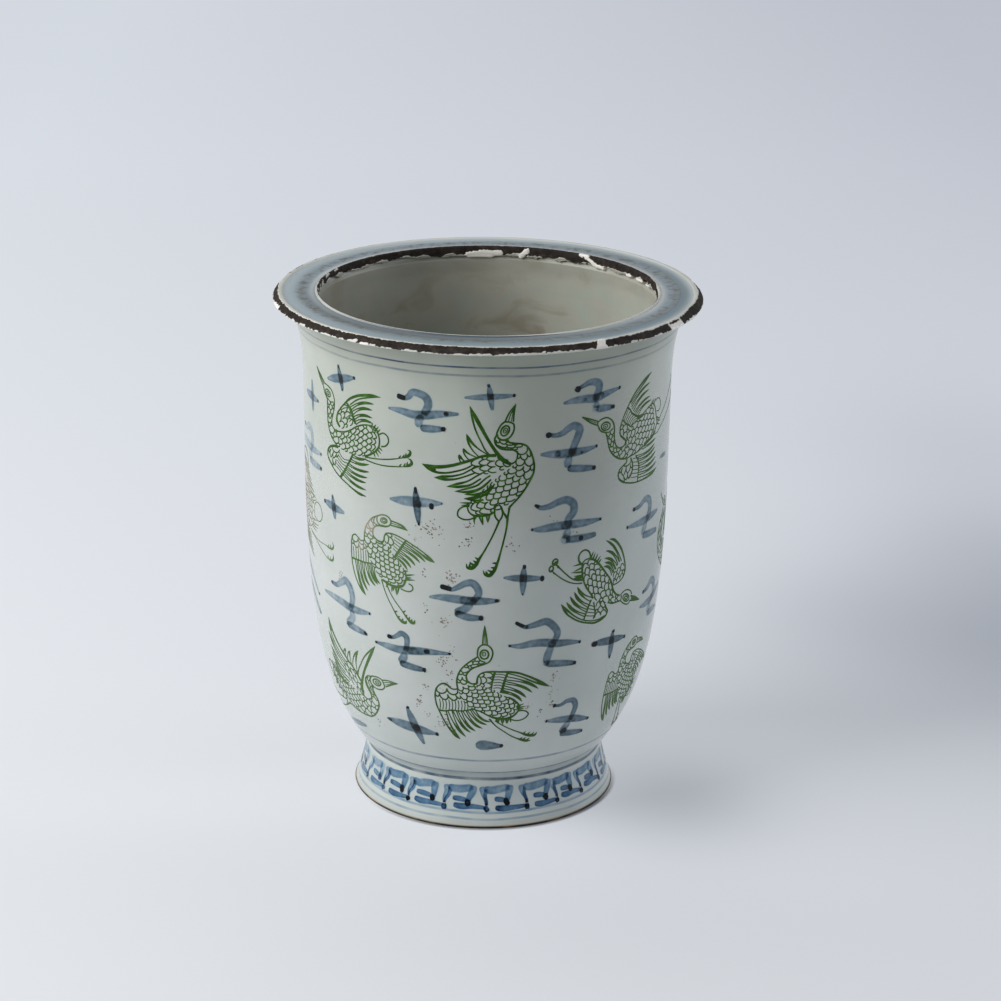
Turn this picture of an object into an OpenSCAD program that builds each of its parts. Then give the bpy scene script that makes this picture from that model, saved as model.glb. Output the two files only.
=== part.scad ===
// Porcelain floor planter (jardiniere): a deep round bowl on a flared hollow foot, with a broad flat
// rim. It is thrown in sections, which are luted together with half-lap seams before the firing.
// Millimetres. +Z is up, and the origin is the middle of the foot's resting plane.

/* [Overall] */
// Height of the whole pot, from the resting plane to the top of the rim
pot_h = 404.5; // [380:0.5:440]
// Diameter over the brown outer edge of the rim
rim_d = 329; // [316:1:350]
// How far the rim stands out beyond the straight wall
rim_overhang = 22.75; // [12:0.25:26]
// How far the brown edge of the mouth stands in from the wall's inner face
mouth_step = 1.75; // [1:0.25:6]

/* [Foot] */
// Diameter of the foot on the ground
foot_d = 205.6; // [196:0.2:215]
// Diameter of the waist, at the top of the foot
waist_d = 187; // [180:0.5:192]
// Height of the foot up to the waist
foot_h = 38; // [34:0.5:41]
// How late the foot flares: 1 is a straight cone, larger keeps the flare for the bottom
foot_flare = 1.7; // [1:0.1:2.5]
// Thickness of the foot's wall
foot_t = 11; // [9:0.5:14]
// Height of the bare clay left unglazed on the foot's lower edge
bare_h = 2.5; // [1.5:0.5:4]
// Bevel on the outside of the bare lower edge
bare_bevel = 1.2; // [0.4:0.2:2]

/* [Floor] */
// Thickness of the floor
floor_t = 12; // [8:0.5:13]
// Height of the hollow under the floor
recess_h = 30; // [28:0.5:31]
// Diameter of the drain hole in the middle of the floor
drain_d = 25; // [12:1:50]
// Width of the ledge in the foot that carries the floor
ledge_w = 5.5; // [3:0.5:7]

/* [Bowl and wall] */
// Diameter of the bowl's lower edge, where it overhangs the waist
bowl_d = 197; // [194:0.5:204]
// Height of the bowl's lower edge above the top of the foot
bowl_rise = 7; // [5:0.5:10]
// Height over which the belly eases out to the straight wall, as the length of its exponential
belly_ease = 60; // [45:1:80]
// Thickness of the straight wall
wall_t = 10; // [7:0.5:12]
// Inside diameter of the bowl at the floor
floor_in_d = 158; // [140:1:165]
// Height of the seam between the bowl and the wall
bowl_seam_z = 165; // [120:1:220]
// Height of the seam between the wall and the neck
neck_seam_z = 322; // [290:1:326]
// Height of the half lap in each luted seam
lap_h = 5; // [3:0.5:8]

/* [Neck and rim] */
// Height at which the wall starts to turn outward under the rim
neck_z = 330; // [328:1:345]
// How tight the turn under the rim is, as the power of its superellipse
neck_power = 2.5; // [2:0.1:3]
// Height of the seam between the neck and the flange, below the top of the rim
flange_h = 16.5; // [12:0.5:20]
// Height of the rim's outer face
edge_h = 4.8; // [3:0.2:7]
// How far the rim's outer face slopes out as it goes down
edge_slope = 4.6; // [2:0.2:6]
// Height of the mouth's upright inner face
lip_h = 8; // [5:0.5:10]
// Thickness of the iron-brown dressing on the rim's two edges
dressing_t = 0.8; // [0.4:0.1:1.2]

/* [Hidden] */
$fn = 180;

// Steps in each long curve and in each short one
long_steps = 28;
short_steps = 8;

rim_r = rim_d / 2;
body_r = rim_r - rim_overhang;
mouth_r = body_r - wall_t - mouth_step;
foot_r = foot_d / 2;
waist_r = waist_d / 2;
bowl_r = bowl_d / 2;
bowl_z = foot_h + bowl_rise;
floor_top = recess_h + floor_t;
floor_r = waist_r - ledge_w;
edge_z = pot_h - edge_h;
flange_seam_z = pot_h - flange_h;
// Radius of the flange's own clay, under the dressing
flange_r = rim_r - dressing_t;

glaze_white = "#cdd4cf";
glaze_blue_grey = "#93a5b2";
iron_brown = "#38332f";
bare_clay = "#b08c66";

// Outer radius of the foot at a height
function foot_out(z) = waist_r + (foot_r - waist_r) * pow(1 - z / foot_h, foot_flare);

// Inner radius of the foot at a height
function foot_in(z) = foot_out(z) - foot_t;

// Share of the turn under the rim that is reached at a height, from 0 to 1
function neck_turn(z) =
    let (t = max(0, min(1, (z - neck_z) / (edge_z - neck_z))))
    1 - pow(1 - pow(t, neck_power), 1 / neck_power);

// Outer radius of the bowl, the wall and the neck at a height
function pot_out(z) =
    let (straight = body_r - (body_r - bowl_r) * exp((bowl_z - z) / belly_ease))
    straight + (flange_r - straight) * neck_turn(z);

// Inner radius of the bowl, the wall and the neck at a height
function pot_in(z) =
    let (r = body_r - wall_t)
    r - (r - floor_in_d / 2) * exp((floor_top - z) / belly_ease);

// Points of the outside between two heights, going up
function out_curve(z0, z1, steps) =
    [for (i = [0 : steps]) let (z = z0 + (z1 - z0) * i / steps) [pot_out(z), z]];

// Points of the inside between two heights, going down
function in_curve(z0, z1, steps) =
    [for (i = [0 : steps]) let (z = z1 - (z1 - z0) * i / steps) [pot_in(z), z]];

// Middle of the wall's thickness, where a half-lap seam steps
function lap_r(z) = (pot_out(z) + pot_in(z)) / 2;

// A half-lap seam across the wall, from the outside to the inside
function seam(z) = [[pot_out(z), z], [lap_r(z), z], [lap_r(z), z + lap_h], [pot_in(z + lap_h), z + lap_h]];

function reversed(points) = [for (i = [len(points) - 1 : -1 : 0]) points[i]];

// The section between two seams: its outside, the upper seam, its inside and the lower seam
function section(z0, z1, steps) =
    concat(out_curve(z0, z1, steps), seam(z1), in_curve(z0 + lap_h, z1 + lap_h, steps), reversed(seam(z0)));

module turned(points) {
    rotate_extrude()
        polygon(points);
}

// Lower edge of the foot, wiped clean of glaze so that it doesn't stick to the kiln shelf
module bare_foot_edge() {
    color(bare_clay)
        turned([[foot_in(0), 0], [foot_out(0) - bare_bevel, 0], [foot_out(0), bare_bevel],
                [foot_out(bare_h), bare_h], [foot_in(bare_h), bare_h]]);
}

// Flared hollow foot, with a ledge inside its top that carries the floor
module foot_ring() {
    heights = [for (i = [0 : short_steps]) bare_h + (foot_h - bare_h) * i / short_steps];
    inside = [for (i = [0 : short_steps]) recess_h - (recess_h - bare_h) * i / short_steps];
    color(glaze_white)
        turned(concat([for (z = heights) [foot_out(z), z]],
                      [[floor_r, foot_h], [floor_r, recess_h]],
                      [for (z = inside) [foot_in(z), z]]));
}

// Round slab that closes the bowl, with its drain hole
module floor_disc() {
    color(glaze_white)
        difference() {
            translate([0, 0, recess_h])
                cylinder(h = floor_t, r = floor_r);
            translate([0, 0, recess_h - 1])
                cylinder(h = floor_t + 2, d = drain_d);
        }
}

// Lower section: the small cove over the foot, the belly, and the shoulder that bears on the floor
module bowl() {
    cove = [for (i = [0 : short_steps]) let (a = 90 * i / short_steps)
            [waist_r + (bowl_r - waist_r) * (1 - cos(a)), foot_h + bowl_rise * sin(a)]];
    belly = [for (i = [1 : long_steps]) let (z = bowl_z + (bowl_seam_z - bowl_z) * i / long_steps)
             [pot_out(z), z]];
    color(glaze_white)
        turned(concat(cove, belly, seam(bowl_seam_z),
                      in_curve(floor_top, bowl_seam_z + lap_h, long_steps),
                      [[floor_r, floor_top], [floor_r, foot_h]]));
}

// Middle section: the straight wall
module wall() {
    color(glaze_white)
        turned(section(bowl_seam_z, neck_seam_z, long_steps));
}

// Upper section, which turns outward under the rim
module neck() {
    color(glaze_white)
        turned(section(neck_seam_z, flange_seam_z, long_steps));
}

// Broad flat rim, with a sloping outer face and an upright face round the mouth
module rim_flange() {
    lip_z = pot_h - lip_h;
    color(glaze_blue_grey)
        turned(concat(out_curve(flange_seam_z, edge_z, short_steps),
                      [[flange_r - edge_slope, pot_h],
                       [mouth_r + dressing_t, pot_h],
                       [mouth_r + dressing_t, lip_z],
                       [mouth_r, lip_z]],
                      reversed(seam(flange_seam_z))));
}

// Iron-brown dressing on the rim's sloping outer face
module outer_edge_dressing() {
    color(iron_brown)
        turned([[flange_r, edge_z], [rim_r, edge_z], [rim_r - edge_slope, pot_h],
                [flange_r - edge_slope, pot_h]]);
}

// Iron-brown dressing on the upright face round the mouth
module mouth_edge_dressing() {
    color(iron_brown)
        turned([[mouth_r, pot_h - lip_h], [mouth_r + dressing_t, pot_h - lip_h],
                [mouth_r + dressing_t, pot_h], [mouth_r, pot_h]]);
}

bare_foot_edge();
foot_ring();
floor_disc();
bowl();
wall();
neck();
rim_flange();
outer_edge_dressing();
mouth_edge_dressing();
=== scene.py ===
# Porcelain floor planter: a deep round bowl on a flared foot, with a broad flat rim, painted with
# cranes in green enamel among blue clouds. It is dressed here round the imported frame. Sizes are in
# millimetres, as on a potter's drawing, and MM turns them into the frame's metres. The front is -Y.
import math
import random
import bpy
import numpy as np
from mathutils import Matrix, Vector


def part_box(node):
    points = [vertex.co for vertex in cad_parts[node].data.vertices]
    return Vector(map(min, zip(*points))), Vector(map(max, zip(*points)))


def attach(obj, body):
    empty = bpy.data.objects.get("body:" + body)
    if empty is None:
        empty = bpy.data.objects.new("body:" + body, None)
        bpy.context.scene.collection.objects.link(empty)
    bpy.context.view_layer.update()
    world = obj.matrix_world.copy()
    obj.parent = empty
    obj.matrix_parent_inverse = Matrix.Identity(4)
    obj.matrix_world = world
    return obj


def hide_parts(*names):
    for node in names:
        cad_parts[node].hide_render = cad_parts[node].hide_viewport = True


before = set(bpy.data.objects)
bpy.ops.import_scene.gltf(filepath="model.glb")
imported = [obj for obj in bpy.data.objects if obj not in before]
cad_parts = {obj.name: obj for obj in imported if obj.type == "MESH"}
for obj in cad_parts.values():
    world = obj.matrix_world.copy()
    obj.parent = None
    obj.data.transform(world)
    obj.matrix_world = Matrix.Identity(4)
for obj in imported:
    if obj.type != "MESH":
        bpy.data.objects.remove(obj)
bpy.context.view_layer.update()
MM = 0.001


# The view. The photograph looks down at the pot through a long lens, from 2.3 m in front of it and
# 1 m up, and the camera leans a little to its right.
EYE = Vector((0.0, -2310.06, 1033.46)) * MM
DOWN, RIGHT, LEAN = (math.radians(angle) for angle in (19.104, 0.2774, 0.6637))
ahead = Vector((math.sin(RIGHT) * math.cos(DOWN), math.cos(RIGHT) * math.cos(DOWN), -math.sin(DOWN)))
level = ahead.cross(Vector((0, 0, 1))).normalized()
upright = level.cross(ahead)
side = level * math.cos(LEAN) + upright * math.sin(LEAN)
top = upright * math.cos(LEAN) - level * math.sin(LEAN)

long_lens = bpy.data.cameras.new("long_lens")
long_lens.sensor_width = 36.0
long_lens.lens = 112.675
camera = bpy.data.objects.new("camera", long_lens)
camera.matrix_world = Matrix.Translation(EYE) @ Matrix((side, top, -ahead)).transposed().to_4x4()
bpy.context.collection.objects.link(camera)
bpy.context.scene.camera = camera
bpy.context.scene.view_settings.view_transform = "Standard"


# The paper and the lamps. The pot stands on one wide sheet of matt white paper. A large softbox on the
# left gives the light, another stands back on the right, and a dim room fills the rest.
def linear(code):
    """A hex sRGB colour as linear red, green, blue and alpha."""
    parts = [int(code[i:i + 2], 16) / 255 for i in (1, 3, 5)]
    return [p / 12.92 if p <= 0.04045 else ((p + 0.055) / 1.055) ** 2.4 for p in parts] + [1.0]


def wire(node, inputs):
    """Sets or links a node's inputs, given in their own order or by name. A node there means its first
    output."""
    for name, value in inputs.items() if isinstance(inputs, dict) else enumerate(inputs):
        if isinstance(value, bpy.types.Node):
            value = value.outputs[0]
        if isinstance(value, bpy.types.NodeSocket):
            node.id_data.links.new(value, node.inputs[name])
        else:
            node.inputs[name].default_value = value


def add(tree, kind, inputs=(), stops=(), **settings):
    """Adds a node with its settings, its inputs, and a ramp's stops as (place, hex colour)."""
    made = tree.nodes.new("ShaderNode" + kind)
    for name, value in settings.items():
        setattr(made, name, value)
    wire(made, inputs)
    for _ in stops[2:]:
        made.color_ramp.elements.new(1.0)
    for k, (place, code) in enumerate(stops):
        made.color_ramp.elements[k].position = place
        made.color_ramp.elements[k].color = linear(code)
    return made


def blank(name):
    """A new material, with its node tree, its Principled shader and the place on the object."""
    made = bpy.data.materials.new(name)
    made.use_nodes = True
    tree = made.node_tree
    tree.nodes.clear()
    shader = add(tree, "BsdfPrincipled")
    add(tree, "OutputMaterial", {"Surface": shader})
    return made, tree, shader, add(tree, "TexCoord").outputs["Object"]


def softbox(name, place, size, watts, code, aim=(0, 0, 200)):
    """A flat lamp at a place, with its width and height, its power, its colour and where it points."""
    lamp = bpy.data.lights.new(name, "AREA")
    lamp.shape = "RECTANGLE"
    lamp.size, lamp.size_y = size[0] * MM, size[1] * MM
    lamp.energy = watts
    lamp.color = linear(code)[:3]
    made = bpy.data.objects.new(name, lamp)
    made.location = Vector(place) * MM
    made.rotation_euler = ((Vector(aim) - Vector(place)).to_track_quat("-Z", "Y")).to_euler()
    bpy.context.collection.objects.link(made)


softbox("softbox_left", (-1750, -620, 1500), (1600, 1600), 46, "#fffefc", (0, 0, 150))
softbox("softbox_right", (1950, 480, 900), (1200, 1600), 15, "#f6f9ff")

room = bpy.data.worlds.new("dim_room")
room.use_nodes = True
wire(room.node_tree.nodes["Background"], {"Color": linear("#eef1f5"), "Strength": 0.27})
bpy.context.scene.world = room

# Matt white paper: it has no gloss. The camera and the reflections also see a pale glow in it, which
# falls off to the far right and holds the shadow soft, and which lights nothing.
PAPER = 9000
NEAR_LEFT, NEAR_RIGHT, FAR_LEFT, FAR_RIGHT = "#b2b4b7", "#9ea1a6", "#c3c8cf", "#a9adb7"
# Painted shadows in the glow, where the pot keeps the lamps' light off, and painted light where the depth is
# negative: middle and reach, in mm, and depth
PAINTED_SHADOWS_AND_LIGHT = [((520, 480), (130, 300), 0.2), ((285, 125), (110, 110), 0.06), ((152, -50), (50, 60), 0.13),
        ((60, -250), (210, 110), 0.05), ((470, 300), (110, 90), 0.05), ((308, 381), (80, 90), 0.05),
        ((500, 700), (130, 110), -0.05), ((-210, -60), (190, 60), -0.03), ((375, 20), (130, 110), -0.03)]
SHADOW_SHARE = 0.5
paper, tree, shader, place = blank("matt_white_paper")
wire(shader, {"Base Color": linear("#dfe2e7"), "Roughness": 0.95})
spot = add(tree, "SeparateXYZ", [place])
across = add(tree, "MapRange", [spot.outputs["X"], -0.7, 0.8])
away = add(tree, "MapRange", [spot.outputs["Y"], -0.6, 2.2])
near = add(tree, "MixRGB", [across, linear(NEAR_LEFT), linear(NEAR_RIGHT)])
far = add(tree, "MixRGB", [across, linear(FAR_LEFT), linear(FAR_RIGHT)])
both = add(tree, "MixRGB", [away, near, far])
held = both
for (x, y), (wide, long), deep in PAINTED_SHADOWS_AND_LIGHT:
    off = add(tree, "Mapping", {"Vector": place, "Location": (-x / wide, -y / long, 0),
                                "Scale": (1 / (wide * MM), 1 / (long * MM), 0)})
    square = add(tree, "VectorMath", [off, off], operation="DOT_PRODUCT")
    fall = add(tree, "Math", [math.exp(-0.5), square.outputs["Value"]], operation="POWER")
    painted_patch = add(tree, "MixRGB", [1.0, held, (abs(deep),) * 3 + (1.0,)],
                 blend_type="SUBTRACT" if deep > 0 else "ADD")
    held = add(tree, "MixRGB", [fall, held, painted_patch])
# A painted contact shadow: a thin dark line where the foot stands, at the front and the right
out = add(tree, "VectorMath", [place], operation="LENGTH")
under = add(tree, "MapRange", [out.outputs["Value"], 104.2 * MM, 106.6 * MM, 1.0, 0.0])
facing = add(tree, "VectorMath", [place, (0.35, -1, 0)], operation="DOT_PRODUCT")
contact_shadow_side = add(tree, "MapRange", [facing.outputs["Value"], 20 * MM, 80 * MM])
line = add(tree, "Math", [under, contact_shadow_side], operation="MULTIPLY")
held = add(tree, "MixRGB", [line, held, linear("#15120f")])
glow = add(tree, "Emission", {"Color": held, "Strength": 1.0 / SHADOW_SHARE})
shown = add(tree, "MixShader", [SHADOW_SHARE, shader, glow])
ray = add(tree, "LightPath")
seen = add(tree, "Math", [ray.outputs["Is Camera Ray"], ray.outputs["Is Glossy Ray"]],
           operation="MAXIMUM")
seen = add(tree, "Math", [seen, ray.outputs["Is Transmission Ray"]], operation="MAXIMUM")
either = add(tree, "MixShader", [seen, shader, shown])
wire(tree.nodes["Material Output"], {"Surface": either})
sheet = bpy.data.meshes.new("paper_sheet")
sheet.from_pydata([(x * PAPER * MM, y * PAPER * MM, 0) for x, y in ((-1, -1), (1, -1), (1, 1), (-1, 1))],
                  [], [(0, 1, 2, 3)])
sheet.materials.append(paper)
floor = bpy.data.objects.new("paper_sheet", sheet)
bpy.context.collection.objects.link(floor)


# The thrown clay. Every piece is turned on the wheel, so each is a section swept round the axis, with
# the same radii as its solid in the frame. The glaze runs over the luted seams, which can't be seen.
WALL_R, BOWL_R, EASE = 141.75, 98.5, 60.0
NECK_Z, NECK_POWER, FLANGE_R, EDGE_Z = 330.0, 2.5, 163.7, 399.7
FOOT_R, WAIST_R, FOOT_H, FLARE, FOOT_T = 102.8, 93.5, 38.0, 1.7, 11.0
BOWL_Z, BARE_H, BEVEL = 45.0, 2.5, 1.2
INNER_R, FLOOR_IN_R, FLOOR_TOP, RECESS_H, LEDGE_R, DRAIN_R = 131.75, 79.0, 42.0, 30.0, 88.0, 12.5
BOWL_SEAM, NECK_SEAM, FLANGE_SEAM, LAP = 165.0, 322.0, 388.0, 5.0
POT_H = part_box("rim_flange")[1][2] / MM
# Under the mouth, the glaze thickens from this height, over this height, by this much
ROLL_Z, ROLL_H, ROLL_T = 380.0, 15.0, 1.45
ROUND = 256
STEP = 2.5


def foot_out(z):
    """Outer radius of the foot at a height."""
    return WAIST_R + (FOOT_R - WAIST_R) * np.clip(1 - np.asarray(z, float) / FOOT_H, 0, 1) ** FLARE


def pot_out(z):
    """Outer radius of the bowl, the wall and the neck at a height."""
    z = np.asarray(z, float)
    straight = WALL_R - (WALL_R - BOWL_R) * np.exp((BOWL_Z - z) / EASE)
    rise = np.clip((z - NECK_Z) / (EDGE_Z - NECK_Z), 0, 1)
    turn = 1 - (1 - rise ** NECK_POWER) ** (1 / NECK_POWER)
    return straight + (FLANGE_R - straight) * turn


def pot_in(z):
    """Inner radius of the bowl, the wall and the neck at a height, with the glaze."""
    z = np.asarray(z, float)
    thick = np.clip((z - ROLL_Z) / ROLL_H, 0, 1)
    glaze = ROLL_T * thick ** 2 * (3 - 2 * thick)
    return INNER_R - (INNER_R - FLOOR_IN_R) * np.exp((FLOOR_TOP - z) / EASE) - glaze


def edge(points):
    """A run of the section, as radius and height, and its outward directions."""
    points = np.array(points, float)
    along = np.gradient(points, axis=0)
    along /= np.linalg.norm(along, axis=1)[:, None]
    return points, np.stack([along[:, 1], -along[:, 0]], axis=1)


def climb(shape, z0, z1):
    """A run up the curve shape(z) from z0 to z1, or down it where z1 is lower."""
    z = np.linspace(z0, z1, max(2, int(abs(z1 - z0) / STEP) + 1))
    slope = (shape(z + 0.01) - shape(z - 0.01)) / 0.02
    way = np.sign(z1 - z0) / np.hypot(1, slope)
    return np.stack([shape(z), z], axis=1), np.stack([way, -way * slope], axis=1)


def bend(centre, radius, start, end, steps=6):
    """A run round an arc, between two angles in degrees from the +radius direction."""
    turn = np.radians(np.linspace(start, end, steps + 1))
    return edge([(centre[0] + radius * math.cos(a), centre[1] + radius * math.sin(a)) for a in turn])


def finish_mesh(name, points, faces, corner_normals, materials, nodes=(), finishes=None,
                values=None):
    """Makes the object of a piece, smooth by the given directions, and says what it is to the frame."""
    mesh = bpy.data.meshes.new(name)
    mesh.from_pydata(np.asarray(points).tolist(), [], np.asarray(faces).tolist())
    mesh.shade_smooth()
    mesh.normals_split_custom_set(np.asarray(corner_normals).tolist())
    for material in materials:
        mesh.materials.append(material)
    if finishes is not None:
        mesh.polygons.foreach_set("material_index", finishes)
    for label, numbers in (values or {}).items():
        mesh.attributes.new(label, "FLOAT", "POINT").data.foreach_set("value", numbers)
    made = bpy.data.objects.new(name, mesh)
    bpy.context.collection.objects.link(made)
    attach(made, "root")
    if nodes:
        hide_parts(*nodes)
    return made


def turned(name, runs, materials, nodes=(), inner=(), well=(), around=ROUND):
    """A closed ring, swept from runs that follow each other round the section, outside upwards. The
    runs numbered in inner have the second material, and those in well the third."""
    angle = np.arange(around) * 2 * math.pi / around
    section = np.concatenate([points[:-1] for points, _ in runs])
    count = len(section)
    points = np.stack([np.outer(section[:, 0], np.cos(angle)), np.outer(section[:, 0], np.sin(angle)),
                       np.repeat(section[:, 1:], around, axis=1)], axis=2).reshape(-1, 3) * MM
    faces, normals = [], []
    turn = np.arange(around)
    then = (turn + 1) % around
    row = 0
    for run, outward in runs:
        for k in range(len(run) - 1):
            low, high = row * around, (row + 1) % count * around
            faces.append(np.stack([low + turn, low + then, high + then, high + turn], axis=1))
            corners = [(outward[k], turn), (outward[k], then), (outward[k + 1], then),
                       (outward[k + 1], turn)]
            normals.append(np.stack([np.stack([n[0] * np.cos(angle[t]), n[0] * np.sin(angle[t]),
                                               np.full(around, n[1])], axis=1) for n, t in corners],
                                    axis=1))
            row += 1
    finishes = [int(k in inner) + 2 * int(k in well) for k, (run, _) in enumerate(runs)
                for _ in range((len(run) - 1) * around)]
    return finish_mesh(name, points, np.concatenate(faces), np.concatenate(normals).reshape(-1, 3),
                       materials, nodes, finishes)


# The glaze is a thin celadon-tinted lime glaze, fired glossy over white porcelain. It is cloudy in
# tone, with fine iron specks, faint tan stains, and a skin that dimples a little.
def glaze_tone(tree, place, pale, deep):
    """The bare glaze's colour: two tones in clouds, tan stains and iron specks."""
    clouds = add(tree, "TexNoise", {"Vector": place, "Scale": 1 / (70 * MM), "Detail": 3.0,
                                    "Roughness": 0.55})
    tone = add(tree, "ValToRGB", [clouds], [(0.32, deep), (0.68, pale)])
    stains = add(tree, "TexNoise", {"Vector": place, "Scale": 1 / (24 * MM), "Detail": 5.0,
                                    "Roughness": 0.7, "Distortion": 0.6})
    spread = add(tree, "MapRange", [stains, 0.66, 0.86, 0, 0.35])
    tone = add(tree, "MixRGB", [spread, tone, linear("#b09a80")])
    specks = add(tree, "TexVoronoi", {"Vector": place, "Scale": 1 / (11 * MM)})
    size = add(tree, "SeparateColor", [specks.outputs["Color"]])
    reach = add(tree, "MapRange", [size, 0.72, 1, 0, 0.05])
    fleck = add(tree, "Math", [specks.outputs["Distance"], reach], operation="LESS_THAN")
    fade = add(tree, "Math", [fleck, 0.5], operation="MULTIPLY")
    return add(tree, "MixRGB", [fade, tone, linear("#7a6350")])


def outer_tone(tree, place):
    """The outside's glaze: it ran thin and greenish round the neck. Below that it is painted slowly darker
    upwards, and darker high on the left and on the right front: all three are painted shade.
    """
    height = add(tree, "SeparateXYZ", [place]).outputs["Z"]
    up = add(tree, "MapRange", [height, 0, 404 * MM])
    # Painted shade: darker upwards, and greener under the rim where the glaze ran thin
    gathered_glaze_and_shade = add(tree, "ValToRGB", [up], [(0.2, "#ffffff"), (0.5, "#f7f7f7"), (0.7, "#f3f3f1"),
                                            (0.82, "#f2f2ed"), (0.92, "#efefe8"), (0.955, "#e2e2d8"),
                                            (1.0, "#dddfd4")])
    tone = add(tree, "MixRGB", [1.0, glaze_tone(tree, place, "#d0d6d3", "#c5ccc8"), gathered_glaze_and_shade],
               blend_type="MULTIPLY")
    # Painted shade, high on the left side
    left = add(tree, "VectorMath", [place, (-1, -0.5, 0)], operation="DOT_PRODUCT")
    side = add(tree, "MapRange", [left.outputs["Value"], 60 * MM, 130 * MM])
    high = add(tree, "MapRange", [height, 200 * MM, 330 * MM, 0, 0.8])
    thin = add(tree, "Math", [side, high], operation="MULTIPLY")
    tone = add(tree, "MixRGB", [thin, tone, linear("#f1f1ef")], blend_type="MULTIPLY")
    # Painted shade, high on the right front
    right = add(tree, "VectorMath", [place, (0.42, -0.91, 0)], operation="DOT_PRODUCT")
    side = add(tree, "MapRange", [right.outputs["Value"], 120 * MM, 137 * MM])
    high = add(tree, "MapRange", [height, 225 * MM, 300 * MM])
    painted_shade_right = add(tree, "Math", [side, high], operation="MULTIPLY")
    return add(tree, "MixRGB", [painted_shade_right, tone, linear("#ebebe9")], blend_type="MULTIPLY")


def glaze_skin(tree, shader, place, roughness=0.2):
    """The glaze's gloss, and the slow throwing rings and fine dimples that move its reflections."""
    wire(shader, {"Roughness": roughness, "Specular IOR Level": 0.25})
    flat = add(tree, "Mapping", {"Vector": place, "Scale": (1 / 160, 1 / 160, 1 / 9)})
    rings = add(tree, "TexNoise", {"Vector": flat, "Scale": 1 / MM, "Detail": 1.0})
    dimples = add(tree, "TexNoise", {"Vector": place, "Scale": 1 / (3.5 * MM), "Detail": 1.0})
    slow = add(tree, "Bump", {"Height": rings, "Strength": 0.35, "Distance": 0.7 * MM})
    fine = add(tree, "Bump", {"Height": dimples, "Normal": slow, "Strength": 0.15, "Distance": 0.12 * MM})
    wire(shader, {"Normal": fine})


def painted_rings(tree, tone, place, rings):
    """Blue lines drawn round the pot on the wheel: height, width, softness, strength and colour."""
    spot = add(tree, "SeparateXYZ", [place])
    sway = add(tree, "TexNoise", {"Vector": place, "Scale": 1 / (60 * MM), "Detail": 1.0})
    lean = add(tree, "MapRange", [sway, 0, 1, -1.2 * MM, 1.2 * MM])
    drawn = add(tree, "Math", [spot.outputs["Z"], lean], operation="ADD")
    load = add(tree, "TexNoise", {"Vector": place, "Scale": 1 / (18 * MM), "Detail": 3.0})
    aside = add(tree, "Math", [spot.outputs["X"]], operation="ABSOLUTE")
    faded = add(tree, "MapRange", [aside, 75 * MM, 132 * MM, 1.0, 0.5])
    for z, width, soft, strength, code in rings:
        away = add(tree, "Math", [drawn, z * MM], operation="SUBTRACT")
        gap = add(tree, "Math", [away], operation="ABSOLUTE")
        line = add(tree, "MapRange", [gap, width / 2 * MM, (width / 2 + soft) * MM, strength, 0.0],
                   interpolation_type="SMOOTHSTEP")
        wet = add(tree, "MapRange", [load, 0.3, 0.65, 0.45, 1.0])
        wet = add(tree, "Math", [wet, faded], operation="MULTIPLY")
        share = add(tree, "Math", [line, wet], operation="MULTIPLY")
        tone = add(tree, "MixRGB", [share, tone, linear(code)])
    return tone


RINGS = [(385.2, 0.9, 0.6, 1.0, "#43566f"), (378.4, 0.8, 1.0, 0.68, "#566b7c"),
         (59.4, 1.2, 0.9, 0.72, "#5b7690"), (45.2, 1.2, 1.0, 0.85, "#3f5a70"),
         (37.8, 1.5, 1.0, 1.0, "#2f4d66"), (41.0, 3.4, 2.4, 0.34, "#587582"),
         (22.5, 19, 3.0, 0.2, "#84a3b8"), (11.6, 0.9, 0.9, 0.8, "#5f86a6"),
         (6.6, 0.9, 0.8, 0.75, "#6d8da6"), (3.2, 2.0, 1.8, 0.2, "#8f8b80")]


def celadon(name, rings):
    """Glazed porcelain, with the rings that are drawn on it."""
    made, tree, shader, place = blank(name)
    wire(shader, {"Base Color": painted_rings(tree, outer_tone(tree, place), place, rings)})
    glaze_skin(tree, shader, place)
    return made


foot_glaze = celadon("celadon_glaze_foot", [ring for ring in RINGS if ring[0] < 40])
bowl_glaze = celadon("celadon_glaze_bowl", [ring for ring in RINGS if 30 < ring[0] < 100])
wall_glaze = celadon("celadon_glaze_wall", [])
neck_glaze = celadon("celadon_glaze_neck", [ring for ring in RINGS if ring[0] > 300])


# The inside: the same glaze, poured in and out, so it is thinner, and it is coloured greyer and darker than
# the outside, partly as painted shade inside the pot. Water that stood in the pot has left tan and green
# tide marks on it, strongest low down.
def inside_tone(tree, place):
    tone = glaze_tone(tree, place, "#b9b9ae", "#a9a99f")
    tides = add(tree, "Mapping", {"Vector": place, "Scale": (1 / 42, 1 / 42, 1 / 26)})
    marks = add(tree, "TexNoise", {"Vector": tides, "Scale": 1 / MM, "Detail": 4.0, "Roughness": 0.55,
                                   "Distortion": 0.8})
    height = add(tree, "SeparateXYZ", [place]).outputs["Z"]
    wet = add(tree, "MapRange", [height, 330 * MM, 382 * MM, 1.0, 0.35])
    for low, high, code in ((0.52, 0.66, "#8d8069"), (0.48, 0.34, "#a3b9ad")):
        mark = add(tree, "MapRange", [marks, low, high, 0, 0.6])
        share = add(tree, "Math", [mark, wet], operation="MULTIPLY")
        tone = add(tree, "MixRGB", [share, tone, linear(code)])
    return tone


inside_glaze, tree, shader, place = blank("water_stained_inside_glaze")
wire(shader, {"Base Color": inside_tone(tree, place)})
glaze_skin(tree, shader, place, 0.3)


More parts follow.
